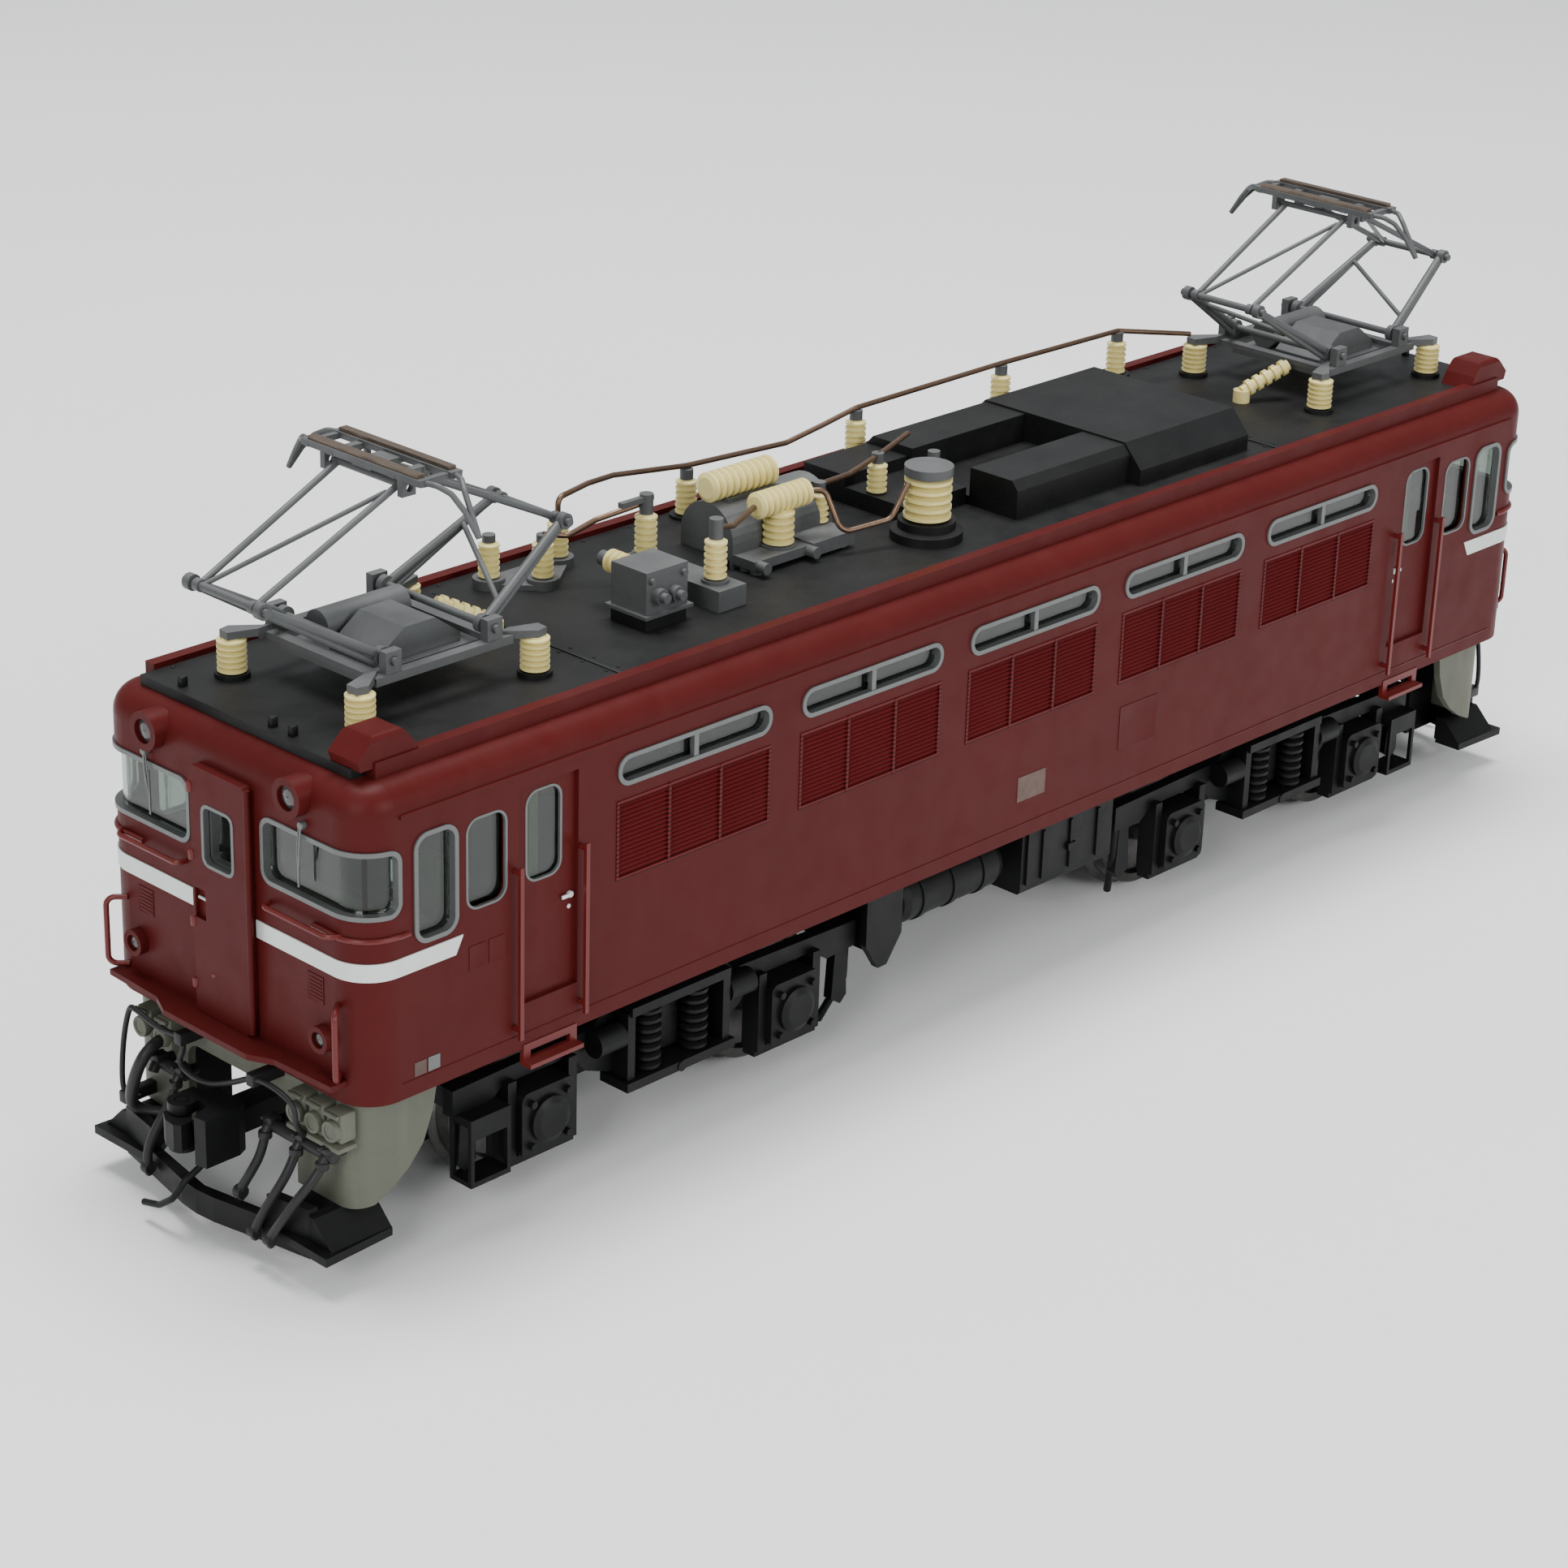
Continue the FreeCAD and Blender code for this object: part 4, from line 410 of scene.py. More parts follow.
def coat_of(name, rgb, rough, mottle=0.10, grain=0.16, depth=0.006, dust=0.12, metal=0.0,
            clear=0.0, dusty=(0.30, 0.28, 0.26), streak=None, gloss=0.28):
    """A sprayed or cast surface: slow mottle, fine speckle, dust on top and a fine grain."""
    finish = Finish(name)
    slow = finish.noise(14.0, 4.0)
    fine = finish.noise(grain * 4, 3.0)
    tone = finish.mix(finish.spread(slow, 0.3, 0.7, 0.0, 1.0), scaled(rgb, 1 - mottle),
                      scaled(rgb, 1 + mottle))
    tone = finish.mix(finish.spread(fine, 0.35, 0.68, 0.0, 0.35), tone, scaled(rgb, 1 - 2 * mottle))
    if streak:
        drips = finish.noise(2.2, 4.0, finish.stretched(1.0, 1.0, 0.12))
        tone = finish.mix(finish.spread(drips, 0.52, 0.8, 0.0, streak), tone, dusty)
    settled = finish.times(finish.upward(), finish.spread(finish.noise(5.0, 5.0), 0.3, 0.75,
                                                          0.15 * dust, dust))
    tone = finish.mix(settled, tone, dusty)
    finish.link(tone, finish.shader.inputs["Base Color"])
    finish.link(finish.spread(finish.noise(3.0, 5.0), 0.3, 0.72, rough - 0.06, rough + 0.10),
                finish.shader.inputs["Roughness"])
    broad = finish.bump(finish.noise(grain * 9, 2.0), depth * 1.6, 0.6)
    finish.link(finish.bump(finish.noise(grain, 3.0), depth, 0.9, broad),
                finish.shader.inputs["Normal"])
    finish.set(metallic=metal, coat_weight=clear, coat_roughness=0.22,
               specular_ior_level=gloss)
    return finish


def brushed(name, rgb, rough, along=(1.0, 1.0, 1.0), tarnish=None, metal=1.0, depth=0.004):
    """Bare metal with fine machining lines and a little tarnish."""
    finish = Finish(name)
    lines = finish.noise(0.12, 3.0, finish.stretched(*along))
    cloud = finish.noise(2.5, 5.0)
    tone = finish.mix(finish.spread(lines, 0.3, 0.7, 0.0, 1.0), scaled(rgb, 0.82),
                      scaled(rgb, 1.12))
    tone = finish.mix(finish.spread(cloud, 0.42, 0.78, 0.0, 0.75), tone,
                      tarnish or scaled(rgb, 0.5))
    finish.link(tone, finish.shader.inputs["Base Color"])
    finish.link(finish.spread(cloud, 0.3, 0.75, rough - 0.06, rough + 0.16),
                finish.shader.inputs["Roughness"])
    finish.link(finish.bump(lines, depth, 0.8), finish.shader.inputs["Normal"])
    finish.set(metallic=metal)
    return finish


def glazing(name, tint, rough, through):
    """Clear moulded plastic with faint smears."""
    finish = Finish(name)
    smear = finish.noise(2.4, 4.0, finish.stretched(1.0, 1.0, 0.35))
    finish.link(finish.mix(smear, scaled(tint, 0.9), tint), finish.shader.inputs["Base Color"])
    finish.link(finish.spread(smear, 0.35, 0.75, rough, rough + 0.04),
                finish.shader.inputs["Roughness"])
    finish.link(finish.bump(finish.noise(8.0, 1.0), 0.004, 0.3), finish.shader.inputs["Normal"])
    finish.set(transmission_weight=through, ior=1.47)
    return finish


def louvre_coat(rgb):
    """The louvre paint: its own red on the lips of the slats, darkened by painted shade down in the
    grooves.
    """
    finish = coat_of("louvre_paint", rgb, 0.46, 0.08, 0.16, 0.006, 0.10,
                     dusty=toward(rgb, (0.4, 0.20, 0.18), 0.3), gloss=0.12)
    base = finish.shader.inputs["Base Color"]
    tone = base.links[0].from_socket
    # painted shade: the groove band of each slat step is darkened toward 15 percent of the louvre
    # red
    painted_groove_shade = finish.spread(finish.steps(SLAT_LOW, SLAT_PITCH), 0.30, 0.60, 0.0, 0.88)
    finish.link(finish.mix(painted_groove_shade, tone, scaled(rgb, 0.15)), base)


def make_finishes(paint):
    """Every material, named for the record's slots."""
    body, grey = tuple(paint.body), tuple(paint.gear)
    coat_of("maroon_paint", body, 0.42, 0.07, 0.20, 0.006, 0.12,
            dusty=toward(body, (0.4, 0.12, 0.10), 0.25), streak=0.06, gloss=0.10)
    louvre_coat(tuple(paint.louvre))
    coat_of("rail_paint", tuple(paint.rail), 0.36, 0.10, 0.16, 0.006, 0.10, clear=0.15,
            dusty=(0.42, 0.16, 0.13))
    coat_of("roof_black", tuple(paint.roof), 0.52, 0.25, 0.18, 0.012, 0.035,
            dusty=(0.20, 0.20, 0.20))
    coat_of("silver_frame", (0.118, 0.126, 0.123), 0.36, 0.08, 0.14, 0.005, 0.06, metal=0.35,
            gloss=0.5)
    coat_of("silver_white", tuple(paint.stripe), 0.32, 0.05, 0.14, 0.005, 0.05, metal=0.30,
            gloss=0.5)
    coat_of("gear_grey", grey, 0.46, 0.10, 0.16, 0.008, 0.16, metal=0.15,
            dusty=(0.42, 0.42, 0.42))
    coat_of("pilot_grey", tuple(paint.skirt), 0.50, 0.06, 0.18, 0.008, 0.10, streak=0.16,
            dusty=(0.30, 0.27, 0.21))
    coat_of("underframe_black", tuple(paint.running), 0.46, 0.22, 0.18, 0.012, 0.030,
            dusty=(0.16, 0.155, 0.15), gloss=0.20)
    coat_of("die_cast", (0.030, 0.031, 0.033), 0.48, 0.15, 0.20, 0.012, 0.06, metal=0.5)
    coat_of("ceramic_cream", tuple(paint.ceramic), 0.34, 0.05, 0.20, 0.004, 0.10, clear=0.25,
            dusty=(0.46, 0.39, 0.20))
    coat_of("gear_plastic", (0.66, 0.64, 0.56), 0.42, 0.05, 0.16, 0.004, 0.04)
    coat_of("cab_green", tuple(paint.cab), 0.50, 0.08, 0.20, 0.006, 0.12,
            dusty=(0.42, 0.44, 0.36))
    brushed("copper_wire", tuple(paint.copper), 0.36, (0.15, 1.0, 1.0), (0.11, 0.075, 0.055),
            0.85)
    brushed("contact_copper", (0.165, 0.125, 0.095), 0.40, (0.1, 1.0, 1.0),
            (0.075, 0.062, 0.052), 0.8)
    brushed("wheel_steel", (0.115, 0.112, 0.108), 0.34, (1.0, 0.2, 1.0), (0.030, 0.028, 0.026))
    brushed("worm_brass", (0.72, 0.50, 0.20), 0.28, (0.2, 1.0, 1.0), (0.42, 0.27, 0.10))
    brushed("motor_steel", (0.42, 0.42, 0.43), 0.32, (0.2, 1.0, 1.0), (0.24, 0.23, 0.22))
    board = coat_of("board_green", (0.012, 0.105, 0.040), 0.36, 0.12, 0.16, 0.005, 0.03)
    board.set(specular_ior_level=0.6)
    glazing("cab_glass", (0.36, 0.42, 0.38), 0.0, 1.0)
    glazing("lamp_glass", (0.16, 0.15, 0.15), 0.10, 0.60)
    coat_of("hose_rubber", (0.012, 0.012, 0.0125), 0.44, 0.2, 0.12, 0.010, 0.03,
            dusty=(0.12, 0.12, 0.12))
    coat_of("plate_brown", (0.105, 0.066, 0.054), 0.46, 0.25, 0.14, 0.006, 0.05, metal=0.3)


class LOCO_OT_paint(Operator):
    """Make every material and put one on each piece of the frame"""
    bl_idname = "loco.paint"
    bl_label = "Paint the frame"

    def execute(self, context):
        make_finishes(context.scene.loco_colours)
        for part in frame["record"]["subparts"]:
            obj = frame["nodes"][part["node"]]
            if not obj.material_slots:
                raise RuntimeError(f"{obj.name} has no material slot")
            for place in obj.material_slots:
                place.material = bpy.data.materials[part["material_slot"]]
        return {"FINISHED"}


# ---------------------------------------------------------------- body fittings

STRIPE_START = 3.8
STRIPE_SIDE_RUN = 6.3
STRIPE_SLANT = 0.85


def stripe_quarter(low, high, thick):
    """One white band: along the end, round the corner and a short way down the side."""
    middle_z = (low + high) / 2
    seed = 0.2
    clear_selection()
    bpy.ops.mesh.primitive_plane_add(
        size=1, rotation=(0, math.pi / 2, 0),
        location=Vector((-FACE, -STRIPE_START - seed / 2, middle_z)) * MM)
    bpy.context.object.scale = ((high - low) * MM, seed * MM, 1)
    obj = settle(bpy.context.object)
    pick(obj, lambda middle, way: middle.y < -STRIPE_START - 0.75 * seed and abs(way.z) > 0.9,
         "edges")
    to_corner = CORNER - WALL + STRIPE_START + seed
    bpy.ops.mesh.extrude_region_move(
        TRANSFORM_OT_translate={"value": (0, to_corner * MM, 0)})
    bpy.ops.mesh.spin(steps=14, angle=-math.pi / 2, axis=(0, 0, 1),
                      center=Vector((CORNER - FACE, CORNER - WALL, 0)) * MM)
    bpy.ops.mesh.extrude_region_move(
        TRANSFORM_OT_translate={"value": (STRIPE_SIDE_RUN * MM, 0, 0)})
    side_end = CORNER - FACE + STRIPE_SIDE_RUN
    pick(obj, lambda middle, way: middle.x > side_end - 1.0 and middle.z > middle_z, "verts")
    bpy.ops.transform.translate(value=(STRIPE_SLANT * MM, 0, 0))
    bpy.ops.object.mode_set(mode="OBJECT")
    wall = obj.modifiers.new("wall", "SOLIDIFY")
    wall.thickness = 2 * thick * MM
    wall.offset = 0.0
    bpy.ops.object.modifier_apply(modifier=wall.name)
    return apply_bevel(obj, 0.03, 1)


class LOCO_OT_stripes(Operator):
    """Lay the silver white waist stripes round each end"""
    bl_idname = "loco.stripes"
    bl_label = "Waist stripes"

    def execute(self, context):
        sizes = context.scene.loco_sizes
        near = stripe_quarter(sizes.stripe_low / MM, sizes.stripe_high / MM,
                              sizes.stripe_thick / MM)
        at_both_ends(mirrored(near), "waist_stripes", "silver_white")
        return {"FINISHED"}


def sunk_panel(x_low, x_high, z_low, z_high, rim, sink):
    """A thin side panel with a raised rim, on the near side wall."""
    panel = add_block((x_low, -WALL - 0.07, z_low), (x_high, -WALL + 0.05, z_high))
    inset(panel, lambda middle, way: way.y < -0.9, rim, -sink)
    return apply_bevel(panel, 0.02, 1)


class LOCO_OT_side_panels(Operator):
    """Add the access covers, the blank works plates and the beadings of the side walls"""
    bl_idname = "loco.side_panels"
    bl_label = "Side panels"

    def execute(self, context):
        covers = []
        for low, high in ((-71.7, -69.9), (-69.5, -67.7)):
            covers += at_two(sunk_panel(low, high, 26.5, 28.7, 0.16, 0.05))
        covers += at_two(sunk_panel(13.9, 19.7, 22.2, 26.8, 0.14, 0.04))
        finish_piece(joined(covers), "access_covers", "maroon_paint")

        beads = []
        for side in (-1, 1):
            y = sorted((side * (WALL - 0.05), side * (WALL + 0.07)))
            beads.append(add_block((-79.0, y[0], 18.35), (79.0, y[1], 18.55), 0.05))
        finish_piece(joined(beads), "side_beadings", "maroon_paint")

        plates = at_two(sunk_panel(-1.3, 2.8, 21.0, 23.6, 0.2, 0.04))
        plates += at_two(sunk_panel(-77.8, -76.5, 18.7, 20.0, 0.1, 0.03))
        finish_piece(joined(plates), "works_plates", "plate_brown")
        labels = at_two(sunk_panel(-76.3, -75.0, 18.7, 20.0, 0.08, 0.03))
        finish_piece(joined(labels), "blank_labels", "silver_frame")
        return {"FINISHED"}


HINGE_HEIGHTS = (21.4, 27.2, 33.4, 39.6)


class LOCO_OT_handles(Operator):
    """Add the handles of the doors, and the hinges and knobs of the gangway doors"""
    bl_idname = "loco.handles"
    bl_label = "Door handles"

    def execute(self, context):
        lever = add_block((-61.0, -17.42, 29.6), (-59.75, -17.22, 29.95), 0.07)
        hub = add_rod("y", 0.3, (-59.95, -17.0, 29.78), (-59.95, -17.36, 29.78), 14, 0.05)
        lock = add_dome((-59.95, -17.05, 28.6), 0.22, 0.5, "y")
        handles = at_four(joined([lever, hub, lock]))
        for end in (-1, 1):
            x = end * (FACE + 0.55)
            handles.append(add_rod("y", 0.14, (x, -end * 2.0, 30.0), (x, -end * 3.2, 30.0), 12))
        finish_piece(joined(handles), "door_handles", "silver_white")

        hinges = [add_dome((end * (FACE + 0.9), -end * 1.1, 23.4), 0.28, 0.5, "x")
                  for end in (-1, 1)]
        for end in (-1, 1):
            x, y = end * (FACE + 0.75), -end * 3.7
            for z in HINGE_HEIGHTS:
                hinges.append(add_rod("z", 0.36, (x, y, z), (x, y, z + 0.9), 14, 0.08))
        finish_piece(joined(hinges), "gangway_hinges", "rail_paint")
        return {"FINISHED"}


class LOCO_OT_wipers(Operator):
    """Hang a wiper over each windscreen"""
    bl_idname = "loco.wipers"
    bl_label = "Wipers"

    def execute(self, context):
        x = -FACE - 0.42
        pivot = add_rod("x", 0.34, (-FACE + 0.2, -10.4, 41.0), (x - 0.15, -10.4, 41.0), 16, 0.08)
        arm = add_tube([(x, -10.4, 41.0), (x - 0.08, -10.3, 39.6), (x, -10.1, 38.0),
                        (x + 0.06, -10.0, 37.2)], 0.10)
        link = add_tube([(x, -10.15, 40.9), (x - 0.05, -9.95, 39.4), (x + 0.05, -9.8, 37.4)], 0.06)
        blade = add_block((x + 0.02, -9.98, 35.3), (x + 0.17, -9.78, 39.4), 0.04)
        at_both_ends(mirrored(joined([pivot, arm, link, blade])), "wipers", "silver_frame")
        return {"FINISHED"}


def jumper_socket(y, z_low, z_high):
    """A grey connector box on the skirt, with a round hinged lid and a hinge pin."""
    box = add_block((-83.6, y - 0.95, z_low), (-82.1, y + 0.95, z_high))
    extrude(box, lambda middle, way: way.x < -0.9, (-0.15, 0, 0))
    apply_bevel(box, 0.28, 3)
    lid = add_rod("x", 0.98, (-83.4, y, (z_low + z_high) / 2 - 0.3),
                  (-84.35, y, (z_low + z_high) / 2 - 0.3), 24, 0.2)
    inset(lid, lambda middle, way: way.x < -0.9, 0.26, -0.14)
    pin = add_rod("y", 0.2, (-84.0, y - 0.8, z_high - 0.2), (-84.0, y + 0.8, z_high - 0.2), 12)
    return joined([box, lid, pin])


def air_hose(points, radius):
    """An air hose with clamps at its top and its coupling head at the bottom."""
    hose = add_tube(points, radius, 4)
    top, bottom = Vector(points[0]), Vector(points[-1])
    clamp = add_rod("z", radius * 1.45, top + Vector((0, 0, -0.35)), top + Vector((0, 0, 0.35)),
                    16, 0.1)
    head = add_rod("y", 0.62, bottom + Vector((0, -0.45, -0.2)), bottom + Vector((0, 0.45, -0.2)),
                   18, 0.12)
    inset(head, lambda middle, way: abs(way.y) > 0.9, 0.18, -0.1)
    lug = add_block(bottom + Vector((-0.25, -0.3, -1.0)), bottom + Vector((0.25, 0.3, 0.25)),
                    0.1)
    return joined([hose, clamp, head, lug])


def rim_ring(low, high, way, radius, wide):
    """A thin round-cornered frame between two corners, open along one axis."""
    rim = add_block(low, high)
    pick(rim, lambda middle, normal: abs(normal[way]) > 0.9, "edges")
    bpy.ops.mesh.bevel(offset=radius * MM, segments=6, affect="EDGES")
    bpy.ops.object.mode_set(mode="OBJECT")
    pick(rim, lambda middle, normal: abs(normal[way]) > 0.9)
    bpy.ops.mesh.inset(thickness=wide * MM)
    bpy.ops.mesh.bridge_edge_loops()
    bpy.ops.object.mode_set(mode="OBJECT")
    return apply_bevel(rim, 0.03, 1)


class LOCO_OT_window_rims(Operator):
    """Frame the plain side windows and the windows of the gangway doors"""
    bl_idname = "loco.window_rims"
    bl_label = "Window rims"

    def execute(self, context):
        rims = []
        for low, high, floor, roof, wall, radius in PLAIN_WINDOWS:
            rim = rim_ring((low - 0.1, -wall - 0.06, floor - 0.1),
                           (high + 0.1, -wall + 0.26, roof + 0.1), 1, radius, 0.24)
            rims += at_four(rim)
        door = rim_ring((-FACE - 0.96, -2.15, 33.35), (-FACE - 0.3, 2.15, 39.15), 0, 0.92, 0.34)
        rims += at_two(door)
        finish_piece(joined(rims), "window_rims", "silver_frame")
        return {"FINISHED"}


class LOCO_OT_end_mouldings(Operator):
    """Add the ledges that run round the corners and the small grilles of the end faces"""
    bl_idname = "loco.end_mouldings"
    bl_label = "End mouldings"

    def execute(self, context):
        x, y = -FACE - 0.1, -WALL - 0.1
        bend = CORNER + 0.1
        path = [(x, y + bend + 2.6, 32.3), (x, y + bend + 0.6, 32.3)]
        for step in range(7):
            turn = math.radians(15 * step)
            path.append((x + bend * (1 - math.cos(turn)), y + bend * (1 - math.sin(turn)), 32.2))
        path += [(x + bend + 0.5, y, 32.1), (x + bend + 1.3, y + 0.1, 32.1)]
        ledge = add_tube(path, 0.26)
        at_both_ends(mirrored(ledge), "corner_ledges", "rail_paint")

        grille = add_block((-FACE - 0.07, -12.4, 25.3), (-FACE + 0.05, -10.4, 27.8))
        inset(grille, lambda middle, way: way.x < -0.9, 0.16, -0.06)
        parts = [grille]
        for row in range(6):
            low = 25.56 + row * 0.34
            parts.append(add_block((-FACE - 0.06, -12.2, low), (-FACE, -10.6, low + 0.17), 0.03))
        at_both_ends(mirrored(joined(parts)), "end_grilles", "maroon_paint")
        return {"FINISHED"}


# jumper sockets: y, bottom and top
SOCKETS = ((-9.4, 13.3, 16.3), (-11.8, 13.3, 16.3), (-14.1, 13.5, 16.2), (8.8, 13.6, 16.4),
           (11.6, 13.6, 16.4))
PIPE_SPOTS = (-5.9, -10.0, -13.4, 6.4, 9.6)


def add_jumper_sockets():
    """The connector boxes and the shelf below them."""
    sockets = [jumper_socket(*place) for place in SOCKETS]
    sockets.append(add_block((-84.2, -15.2, 12.7), (-82.1, -8.3, 13.2), 0.15))
    at_both_ends(joined(sockets), "jumper_sockets", "pilot_grey")


def add_uncoupling_bar(radius):
    """The bent lifting bar that crosses each end, with its brackets."""
    bar = add_tube([(-84.4, 11.6, 7.9), (-85.2, 12.4, 7.8), (-85.3, 13.2, 8.6),
                    (-85.3, 12.7, 13.4), (-85.3, 11.6, 17.0), (-85.3, 10.9, 17.2),
                    (-85.3, 7.4, 16.4), (-85.3, 4.4, 16.9), (-85.3, 3.9, 15.9),
                    (-85.3, 4.8, 14.3), (-85.5, 3.4, 13.8), (-85.5, 0.6, 13.7),
                    (-85.4, -2.8, 15.2), (-85.3, -5.4, 16.7), (-85.3, -8.0, 16.9),
                    (-85.3, -10.4, 16.4), (-85.3, -11.0, 15.6), (-85.2, -10.9, 14.0),
                    (-84.2, -10.8, 13.0)], radius)
    brackets = []
    for y, z in ((4.3, 16.9), (-5.5, 16.7), (12.6, 8.0)):
        bracket = add_block((-85.75, y - 0.5, z - 0.45), (-82.2, y + 0.5, z + 0.45))
        extrude(bracket, lambda middle, way: way.z < -0.9, (0.0, 0.0, -0.3))
        brackets.append(apply_bevel(bracket, 0.16))
    at_both_ends(joined([bar] + brackets), "uncoupling_bar", "hose_rubber")


def add_brake_pipes():
    """The pipe ends and their two manifolds, each pipe with a cock and a lever."""
    pipes = [add_tube([(-82.2, y, 11.9), (-83.4, y, 12.0), (-84.2, y, 11.9),
                       (-84.5, y, 11.2)], 0.5, 3) for y in PIPE_SPOTS]
    pipes.append(add_rod("y", 0.62, (-83.7, -14.2, 11.9), (-83.7, -5.3, 11.9), 18, 0.15))
    pipes.append(add_rod("y", 0.55, (-83.7, 5.8, 11.9), (-83.7, 10.4, 11.9), 18, 0.15))
    for y in PIPE_SPOTS:
        pipes.append(add_block((-84.5, y - 0.75, 12.2), (-83.2, y + 0.35, 12.9), 0.18))
        pipes.append(add_block((-84.9, y - 0.16, 12.7), (-83.3, y + 0.16, 13.0), 0.08))
    at_both_ends(joined(pipes), "brake_pipes", "hose_rubber")


def add_air_hoses(radius):
    """The hanging hoses and the thicker cable beside them."""
    hoses = [
        air_hose([(-84.5, -5.9, 11.2), (-84.9, -5.9, 9.6), (-85.9, -5.4, 7.6),
                  (-86.3, -4.6, 6.0)], radius),
        air_hose([(-84.5, -10.0, 11.2), (-85.3, -10.1, 9.8), (-86.6, -9.4, 7.4),
                  (-87.2, -8.2, 4.9), (-87.1, -7.4, 3.6)], radius),
        air_hose([(-84.5, -13.4, 11.2), (-85.3, -13.5, 10.4), (-86.6, -12.6, 8.4),
                  (-87.3, -10.8, 5.4), (-87.2, -9.6, 3.8)], radius),
        air_hose([(-84.5, 6.4, 11.2), (-85.1, 6.4, 9.6), (-86.4, 6.9, 7.4),
                  (-87.2, 7.4, 5.0), (-87.1, 7.3, 3.8)], radius),
        add_tube([(-84.2, 8.8, 14.4), (-85.6, 8.6, 14.2), (-86.4, 9.2, 12.4),
                  (-86.2, 10.6, 9.4), (-85.6, 11.4, 7.6), (-84.6, 10.6, 6.8),
                  (-83.6, 9.4, 6.9)], radius * 1.35, 4),
    ]
    at_both_ends(joined(hoses), "air_hoses", "hose_rubber", 60)


class LOCO_OT_end_gear(Operator):
    """Add the air hoses, jumper sockets, cables and the uncoupling bar in front of each skirt"""
    bl_idname = "loco.end_gear"
    bl_label = "End gear"

    def execute(self, context):
        sizes = context.scene.loco_sizes
        add_jumper_sockets()
        add_uncoupling_bar(sizes.lift_wire / MM)
        add_brake_pipes()
        add_air_hoses(sizes.hose / MM)
        return {"FINISHED"}


class LOCO_OT_roof_details(Operator):
    """Add the roof bolts, the sheet seams and the small brackets at the roof ends"""
    bl_idname = "loco.roof_details"
    bl_label = "Roof details"

    def execute(self, context):
        head = context.scene.loco_sizes.rivet / MM
        seed = add_dome((0, 0, 46.34), head, 0.55)
        bolts = []
        for x in range(-78, 80, 6):
            for y in (-13.2, 13.2):
                bolts.append(copied(seed, shift(x, y)))
        for x in (-51.0, -49.6, 42.0, 43.4):
            for y in range(-12, 13, 3):
                bolts.append(copied(seed, shift(x, y)))
        bpy.data.objects.remove(seed)
        finish_piece(joined(bolts), "roof_bolts", "roof_black")

        seams = [add_block((x - 0.35, -13.5, 46.25), (x + 0.35, 13.5, 46.42), 0.06)
                 for x in (-50.3, 42.7)]
        for end in (-1, 1):
            for y in (-5.2, -2.6, 9.4):
                x = end * 79.9
                foot = add_block((x - 0.35, y - 0.3, 46.2), (x + 0.35, y + 0.3, 46.75))
                extrude(foot, lambda middle, way: way.z > 0.9, (0, 0, 0.45))
                seams.append(apply_bevel(foot, 0.08))
        finish_piece(joined(seams), "roof_seams", "roof_black")
        return {"FINISHED"}


# ---------------------------------------------------------------- stage

class LOCO_OT_stage(Operator):
    """Set the pale floor, the soft lights and the camera"""
    bl_idname = "loco.stage"
    bl_label = "Stage"

    def execute(self, context):
        clear_selection()
        bpy.ops.mesh.primitive_plane_add(size=6, location=(0, 0, 0))
        floor = bpy.context.object
        floor.name = "floor"
        pale = Finish("pale_floor")
        soft = pale.noise(40.0, 3.0)
        pale.link(pale.mix(soft, (0.86, 0.86, 0.86), (0.89, 0.89, 0.89)),
                  pale.shader.inputs["Base Color"])
        pale.set(roughness=0.9)
        floor.data.materials.append(pale.material)
        world = bpy.data.worlds.new("soft_room")
        context.scene.world = world
        world.use_nodes = True
        sky = world.node_tree.nodes["Background"]
        sky.inputs["Color"].default_value = (0.95, 0.98, 1.0, 1.0)
        sky.inputs["Strength"].default_value = 0.46
        add_light("overhead", (0.05, 0.10, 0.80), (0.0, 0.0, 0.03), 0.5, 0.3, 9.0)
        add_light("front_left", (-0.80, -0.30, 0.42), (-0.03, 0.0, 0.03), 0.35, 0.35, 4.0)
        add_light("side_right", (0.10, -0.95, 0.42), (0.0, 0.0, 0.03), 0.6, 0.3, 5.5)
        set_camera(context)
        return {"FINISHED"}


def add_light(name, place, target, wide, tall, power):
    """A soft rectangular light aimed at a point."""
    clear_selection()
    bpy.ops.object.light_add(type="AREA", location=place)
    lamp = bpy.context.object
    lamp.name = name
    lamp.rotation_euler = (Vector(target) - Vector(place)).to_track_quat("-Z", "Y").to_euler()
    lamp.data.shape = "RECTANGLE"
    lamp.data.size = wide
    lamp.data.size_y = tall
    lamp.data.energy = power


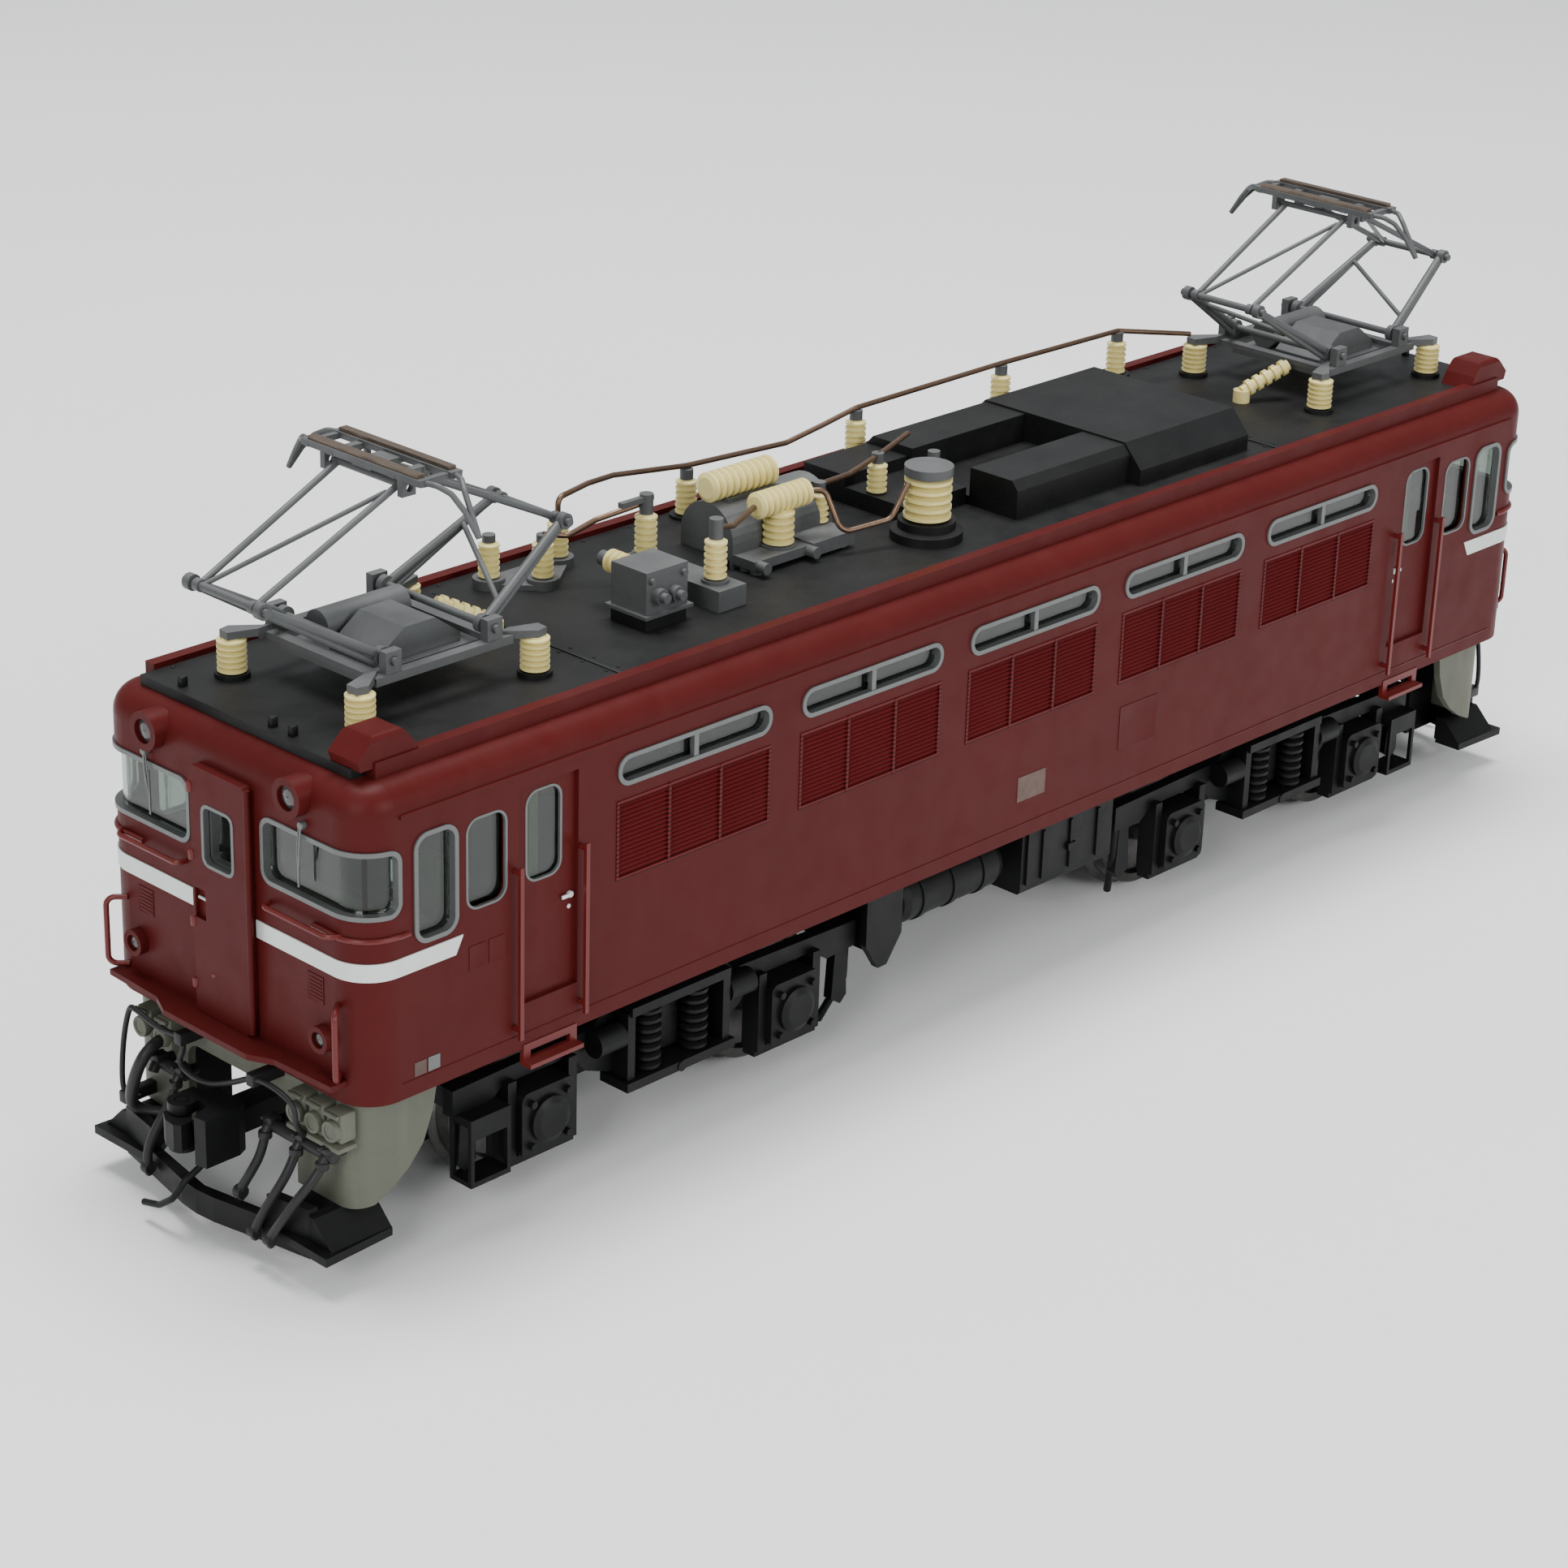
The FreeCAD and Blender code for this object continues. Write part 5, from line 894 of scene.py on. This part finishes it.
def set_camera(context):
    """The camera, a little above and in front of the near cab."""
    clear_selection()
    bpy.ops.object.camera_add(location=(-0.25915, -0.22935, 0.16631))
    camera = bpy.context.object
    camera.name = "main_camera"
    heading, lift, roll = math.radians(-46.73), math.radians(23.40), math.radians(1.82)
    back = Vector((math.sin(heading) * math.cos(lift), -math.cos(heading) * math.cos(lift),
                   math.sin(lift)))
    right = Vector((0, 0, 1)).cross(back).normalized()
    up = back.cross(right)
    tipped = right * math.cos(roll) + up * math.sin(roll)
    raised = up * math.cos(roll) - right * math.sin(roll)
    camera.rotation_euler = Matrix((tipped, raised, back)).transposed().to_euler()
    camera.data.lens = 86.4
    camera.data.sensor_width = 36.0
    camera.data.clip_start = 0.01
    context.scene.camera = camera


class LOCO_PT_panel(Panel):
    """The locomotive's settings and steps"""
    bl_idname = "LOCO_PT_panel"
    bl_label = "Model Electric Locomotive"
    bl_space_type = "VIEW_3D"
    bl_region_type = "UI"
    bl_category = "Locomotive"

    def draw(self, context):
        for group in (context.scene.loco_colours, context.scene.loco_sizes):
            box = self.layout.box()
            for name in group.bl_rna.properties.keys():
                if name not in ("rna_type", "name"):
                    box.prop(group, name)
        for step in STEPS:
            self.layout.operator(step.bl_idname)


CLASSES = [
    LocoColours, LocoSizes, LOCO_OT_paint, LOCO_OT_stripes, LOCO_OT_side_panels,
    LOCO_OT_handles, LOCO_OT_wipers, LOCO_OT_window_rims, LOCO_OT_end_mouldings,
    LOCO_OT_end_gear, LOCO_OT_roof_details, LOCO_OT_stage, LOCO_PT_panel,
]
STEPS = [made for made in CLASSES if issubclass(made, Operator)]


def register():
    for made in CLASSES:
        bpy.utils.register_class(made)
    bpy.types.Scene.loco_colours = PointerProperty(type=LocoColours)
    bpy.types.Scene.loco_sizes = PointerProperty(type=LocoSizes)


def unregister():
    del bpy.types.Scene.loco_sizes
    del bpy.types.Scene.loco_colours
    for made in reversed(CLASSES):
        bpy.utils.unregister_class(made)


def main():
    """Runs every step in order."""
    register()
    bpy.ops.loco.paint()
    bpy.ops.loco.stripes()
    bpy.ops.loco.side_panels()
    bpy.ops.loco.handles()
    bpy.ops.loco.wipers()
    bpy.ops.loco.window_rims()
    bpy.ops.loco.end_mouldings()
    bpy.ops.loco.end_gear()
    bpy.ops.loco.roof_details()
    bpy.ops.loco.stage()


if __name__ == "__main__":
    main()
